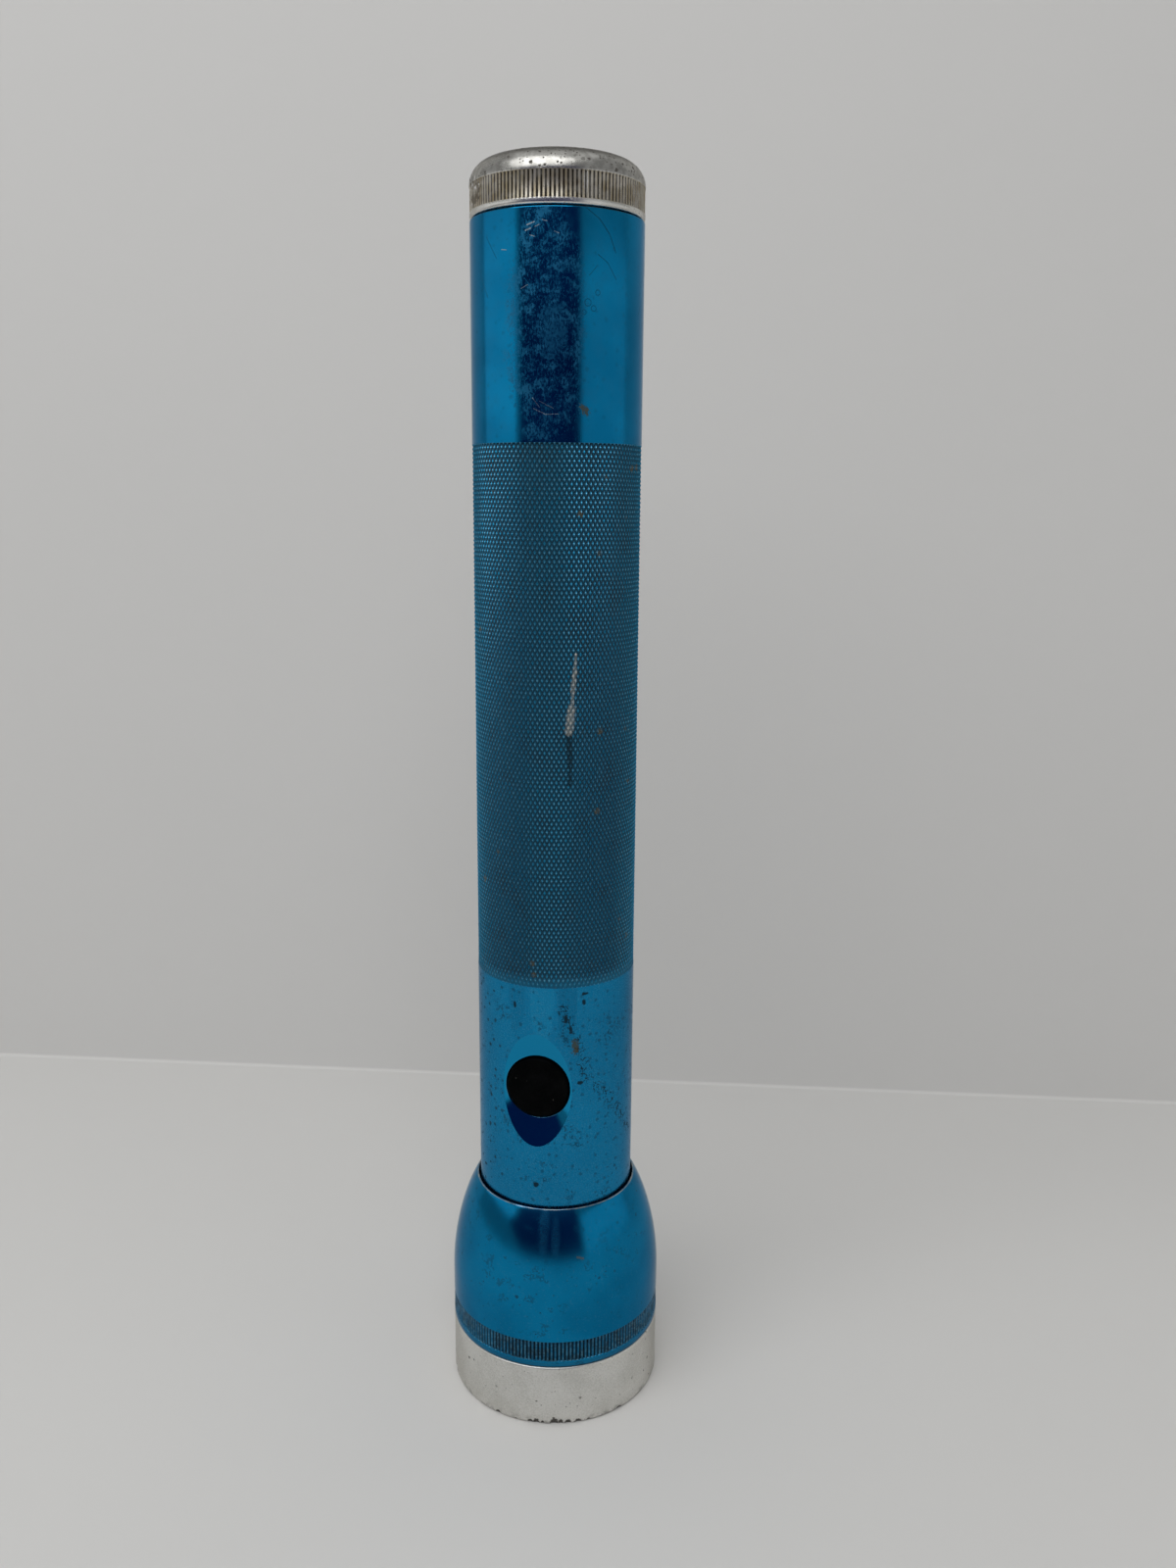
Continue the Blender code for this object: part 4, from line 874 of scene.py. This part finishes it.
def makeLens(look):
    edge, radius = look.edge, look.radius
    outline = [(0, look.low), (radius * 0.5, look.low)]
    outline += roundOver(radius - edge, look.low + edge, edge, -90, 0, 4)
    outline += roundOver(radius - edge, look.high - edge, edge, 0, 90, 4)
    outline += [(radius * 0.5, look.high), (0, look.high)]
    turnedPiece("front_lens", outline, look.columns, "clear_lens", "lens", "lens")


makeLens(lensLook)

bowlLow, bowlHigh = nodeBox("reflector")
bowlLook = Settings(
    low=bowlLow.z, flange=1.2, flangeRadius=bowlHigh.x, mouth=24.0, throat=6.0, depth=29.35, wall=1.0,
    hub=1.35, camInner=9.6, camOuter=12.0, camFromThroat=9.75, columns=144, steps=26, backSteps=12,
    pitch=1.27, travel=3.0, turn=math.pi / 2, leadIn=math.radians(11.25),
)


def makeBowl(look):  # mirror bowl with the two focusing ramps on its back
    around = columns(look.columns)
    focus = (look.mouth ** 2 - look.throat ** 2) / (4 * look.depth)
    vertex = look.low + look.mouth ** 2 / (4 * focus)
    throat = look.low + look.depth

    def onBowl(radius):
        return vertex - radius ** 2 / (4 * focus)

    lead = look.travel / look.turn + look.pitch / fullTurn
    sweep = look.turn + 2 * look.leadIn
    along = (around - math.pi / 2 + look.leadIn) % math.pi  # ramps are measured from +X
    rise = np.where(along <= sweep, lead * along, lead * sweep * (math.pi - along) / (math.pi - sweep))
    flangeTop = look.low + look.flange
    outerEnd = math.sqrt((vertex - flangeTop) * 4 * focus)
    back = np.linspace(look.camOuter - look.wall, outerEnd, look.backSteps)
    rows = [(r, onBowl(r), around) for r in np.linspace(look.mouth, look.throat, look.steps)]
    rows += [(r, throat + look.hub, around) for r in (look.throat, look.camInner)]
    rows += [(r, throat + look.camFromThroat + rise, around) for r in (look.camInner, look.camOuter)]
    rows += [(r + look.wall, onBowl(r), around) for r in back]
    rows += [(look.flangeRadius, level, around) for level in (flangeTop, look.low)]
    plating = "reflector_plating"
    addPiece("mirror_bowl", turnedMesh(rows), finishes[plating], "head", ["reflector"])


makeBowl(bowlLook)

emitterLow, emitterHigh = nodeBox("led_emitter")
domeLook = Settings(radius=emitterHigh.x, tip=emitterLow.z, back=emitterHigh.z, columns=64)


def makeDome(look):
    base = look.tip + look.radius
    outline = [(0, look.back), (look.radius, look.back)]
    outline += roundOver(0, base, look.radius, 0, -87, 14) + [(0, look.tip)]
    turnedPiece("led_dome", outline, look.columns, "emitter", "lamp_carrier", "led_emitter")


makeDome(domeLook)


def springPiece(name, node, body, path, wire, sides=12):  # a wire along the path, with closed flat ends
    bm = bmesh.new()
    rings = []
    for i, point in enumerate(path):
        ahead = (path[min(i + 1, len(path) - 1)] - path[max(i - 1, 0)]).normalized()
        side = ahead.orthogonal().normalized() if i == 0 else (side - ahead * side.dot(ahead)).normalized()
        up = ahead.cross(side)
        turns = [fullTurn * k / sides for k in range(sides)]
        spots = [point + (side * math.cos(t) + up * math.sin(t)) * (wire / 2) for t in turns]
        rings.append([bm.verts.new(spot * mm) for spot in spots])
    for one, two in zip(rings, rings[1:]):
        bridge(bm, one, two)
    bm.faces.new(rings[0])
    bm.faces.new(rings[-1])
    return addPiece(name, bm, finishes["spring_steel"], body, [node])


def coilPath(look):  # points of a coil about Z, straight or conical
    count = int(look.turns * look.perTurn)
    points = []
    for i in range(count + 1):
        share = i / count
        angle = fullTurn * look.turns * share
        radius = look.radii[0] + (look.radii[1] - look.radii[0]) * share
        level = look.levels[0] + (look.levels[1] - look.levels[0]) * share
        points.append(Vector((radius * math.cos(angle), radius * math.sin(angle), level)))
    return points


def coilLevels(low, high, wire):
    return (low + wire / 2, high - wire / 2)


coneLow, coneHigh = nodeBox("tail_spring")
coneLook = Settings(wire=1.8, turns=3.75, perTurn=40, radii=(6.0, 14.1))
coneLook["levels"] = coilLevels(coneLow.z, coneHigh.z, coneLook.wire)
springPiece("cone_spring", "tail_spring", "tail_spring", coilPath(coneLook), coneLook.wire)

postLow, postHigh = nodeBox("lamp_post_spring")
postLook = Settings(wire=0.9, turns=3.75, perTurn=40, radii=(7.45, 7.45), travel=3.0)
postLook["levels"] = coilLevels(postLow.z, postHigh.z, postLook.wire)
postPath = coilPath(postLook)
postSpring = springPiece("post_spring", "lamp_post_spring", "barrel", postPath, postLook.wire)
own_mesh(postSpring)

pushLow, pushHigh = nodeBox("switch_spring")
pushLook = Settings(wire=0.8, turns=4.0, perTurn=36, radii=(4.2, 4.2), travel=2.0)
pushLook["levels"] = coilLevels(-pushHigh.y, -pushLow.y, pushLook.wire)
pushPath = [outward(barrelLook.switchLevel) @ point for point in coilPath(pushLook)]
pushSpring = springPiece("button_spring", "switch_spring", "barrel", pushPath, pushLook.wire)
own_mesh(pushSpring)

for subpart in frame["record"]["subparts"]:  # inner pieces keep their CAD shape and get the slot's finish
    node = frame["nodes"][subpart["node"]]
    slot = subpart["material_slot"]
    if slot in finishes and not node.hide_render:
        node.data.materials.clear()
        node.data.materials.append(finishes[slot])
print("inner pieces dressed")

cameraLook = Settings(
    distance=319.33, height=239.555, turn=14.7, pitch=12.763, yaw=1.4548, roll=0.42535, lens=29.265,
    sensor=36, clip=(10, 20000),
)
stageTurn = spun(cameraLook.turn)  # the photo's view stands this far round


def makeCamera(look):
    data = bpy.data.cameras.new("view")
    data.lens = look.lens
    data.sensor_width = look.sensor
    data.clip_start, data.clip_end = look.clip[0] * mm, look.clip[1] * mm
    camera = addObject("view", data)
    aim = spun(-look.yaw) @ spun(90 - look.pitch, "X") @ spun(look.roll)
    stand = Matrix.Translation((0, -look.distance * mm, look.height * mm))
    camera.matrix_world = stageTurn @ stand @ aim
    bpy.context.scene.camera = camera


makeCamera(cameraLook)

stageLook = Settings(
    floor=(0.70, 0.695, 0.68, 1), wall=(0.66, 0.655, 0.645, 1), patch=(0.55, 0.55, 0.54, 1),
    behind=176.5, skew=-5.8, cove=1.2, near=1000, side=1000, wallHeight=900, fade=(560, 880), under=27.5,
    card=Settings(
        left=-660, right=222, distance=400, low=2, high=485, colour=(0.014, 0.013, 0.064, 1), crisp=-460,
        crispFrom=(205, 235), soft=-600, softLevel=150, slant=2.5, crispEdge=6, softEdge=70, lowFade=60,
    ),
)


def fadeOut(shader, mask):  # see-through where the mask is 1
    whole, clear = Wire(mask.tree, shader.outputs[0]), mask.node("BsdfTransparent")
    seen = mask.node("MixShader", {}, {0: mask, 1: whole, 2: clear})
    mask.tree.links.new(seen.socket, mask.tree.nodes["Material Output"].inputs["Surface"])


def stageFinish(look):  # pale paper, seen only from its front, that fades out further away
    material, shader, place = newFinish("pale_paper")
    height = place.part("Z")
    away = place.node("VectorMath", {"operation": "LENGTH"}, {0: place}, "Value") / mm
    under = away.ease(look.under + 0.2, look.under - 0.2)  # light for the face it stands on
    patch = place.grain(180, 2.0)
    colour = height.ease(1 * mm, look.cove * mm).tint(look.floor, look.wall)
    feed(shader, Base_Color=(patch.ease(0.3, 0.7) * 0.05).tint(colour, look.patch), Roughness=0.75,
         Normal=bump(place.grain(60, 3.0), 0.1, 2.0))
    behind = place.node("NewGeometry", out="Backfacing")
    fadeOut(shader, behind | under | away.ease(*look.fade))
    return material


def cardFinish(card):  # a dark card with a soft lower edge and a soft, slanting lower left corner
    material, shader, place = newFinish("dark_flag")
    x, height = place.part("X") / mm, place.part("Z") / mm
    high = height.ease(*card.crispFrom)
    upper = (x - card.crisp).ease(card.crispEdge, -card.crispEdge) * high
    slanted = x - card.soft - (card.softLevel - height) * card.slant
    lower = slanted.ease(card.softEdge, -card.softEdge) * (1 - high)
    feed(shader, Base_Color=(0, 0, 0, 1), Roughness=0.9, Emission_Color=card.colour, Emission_Strength=1.0)
    fadeOut(shader, upper | lower | height.ease(card.low + card.lowFade, card.low))
    return material


def makeStage(look):
    outline = [(-look.near, 0)]
    outline += [(look.behind - look.cove + look.cove * math.sin(t), look.cove * (1 - math.cos(t)))
                for t in np.radians(np.linspace(0, 90, 12))]
    outline.append((look.behind, look.wallHeight))
    bm = bmesh.new()
    left, right = [[bm.verts.new((x * mm, y * mm, z * mm)) for y, z in outline]
                   for x in (-look.side, look.side)]
    for i in range(len(outline) - 1):
        bm.faces.new((left[i], right[i], right[i + 1], left[i + 1]))
    floor = meshObject("paper_floor", bm)
    floor.data.shade_smooth()
    if floor.data.polygons[0].normal.z < 0:
        floor.data.flip_normals()
    floor.matrix_world = stageTurn @ spun(look.skew)
    floor.data.materials.append(stageFinish(look))
    card = look.card
    bm = bmesh.new()
    corners = [(card.left, card.low), (card.right, card.low), (card.right, card.high), (card.left, card.high)]
    bm.faces.new([bm.verts.new((x * mm, -card.distance * mm, z * mm)) for x, z in corners])
    flag = meshObject("dark_flag", bm)  # a dark card beside the camera, for the metal to reflect
    flag.matrix_world = stageTurn
    flag.visible_camera = flag.visible_diffuse = flag.visible_shadow = flag.visible_transmission = False
    flag.data.materials.append(cardFinish(card))


makeStage(stageLook)

lampLook = {  # angle from the view, minus is left, and height in degrees; distance and size in mm
    "left_window": Settings(angle=-82, height=14.5, distance=900, size=(900, 260), level=0.56),
    "front_ceiling": Settings(angle=-25, height=48.5, distance=1000, size=(1150, 640), level=2.35),
    "overhead": Settings(angle=0, height=86, distance=1150, size=(1200, 1200), level=0.34),
    "right_fill": Settings(angle=69, height=4, distance=900, size=(1300, 500), level=0.36),
}


def makeLamps(lamps):
    middle = Vector((0, 0, 150 * mm))  # they point half way up
    for name, look in lamps.items():
        data = bpy.data.lights.new(name, "AREA")
        data.shape = "RECTANGLE"
        data.size, data.size_y = look.size[0] * mm, look.size[1] * mm
        data.energy = look.level * math.pi * data.size * data.size_y  # level is how bright its face looks
        lamp = addObject(name, data)
        angle, height = math.radians(look.angle), math.radians(look.height)
        flat = math.cos(height)
        away = Vector((math.sin(angle) * flat, -math.cos(angle) * flat, math.sin(height)))
        stand = Matrix.Translation(away * look.distance * mm + middle)
        lamp.matrix_world = stageTurn @ stand @ away.to_track_quat("Z", "Y").to_matrix().to_4x4()
        lamp.visible_camera = False


makeLamps(lampLook)

worldLook = Settings(low=(0.26, 0.26, 0.26, 1), high=(0.33, 0.33, 0.328, 1), seen=(0.46, 0.46, 0.45, 1))


def makeWorld(look):
    world = bpy.data.worlds.new("studio")
    world.use_nodes = True
    bpy.context.scene.world = world
    pen = Wire(world.node_tree)
    way = pen.node("TexCoord", out="Generated")
    light = way.part("Z").ease(-0.1, 0.8).tint(look.low, look.high)
    direct = pen.node("LightPath", out="Is Camera Ray")
    backdrop = world.node_tree.nodes["Background"]
    world.node_tree.links.new(direct.tint(light, look.seen).socket, backdrop.inputs["Color"])


makeWorld(worldLook)
bpy.context.scene.view_settings.view_transform = "Standard"
print("stage, lamps and camera ready")
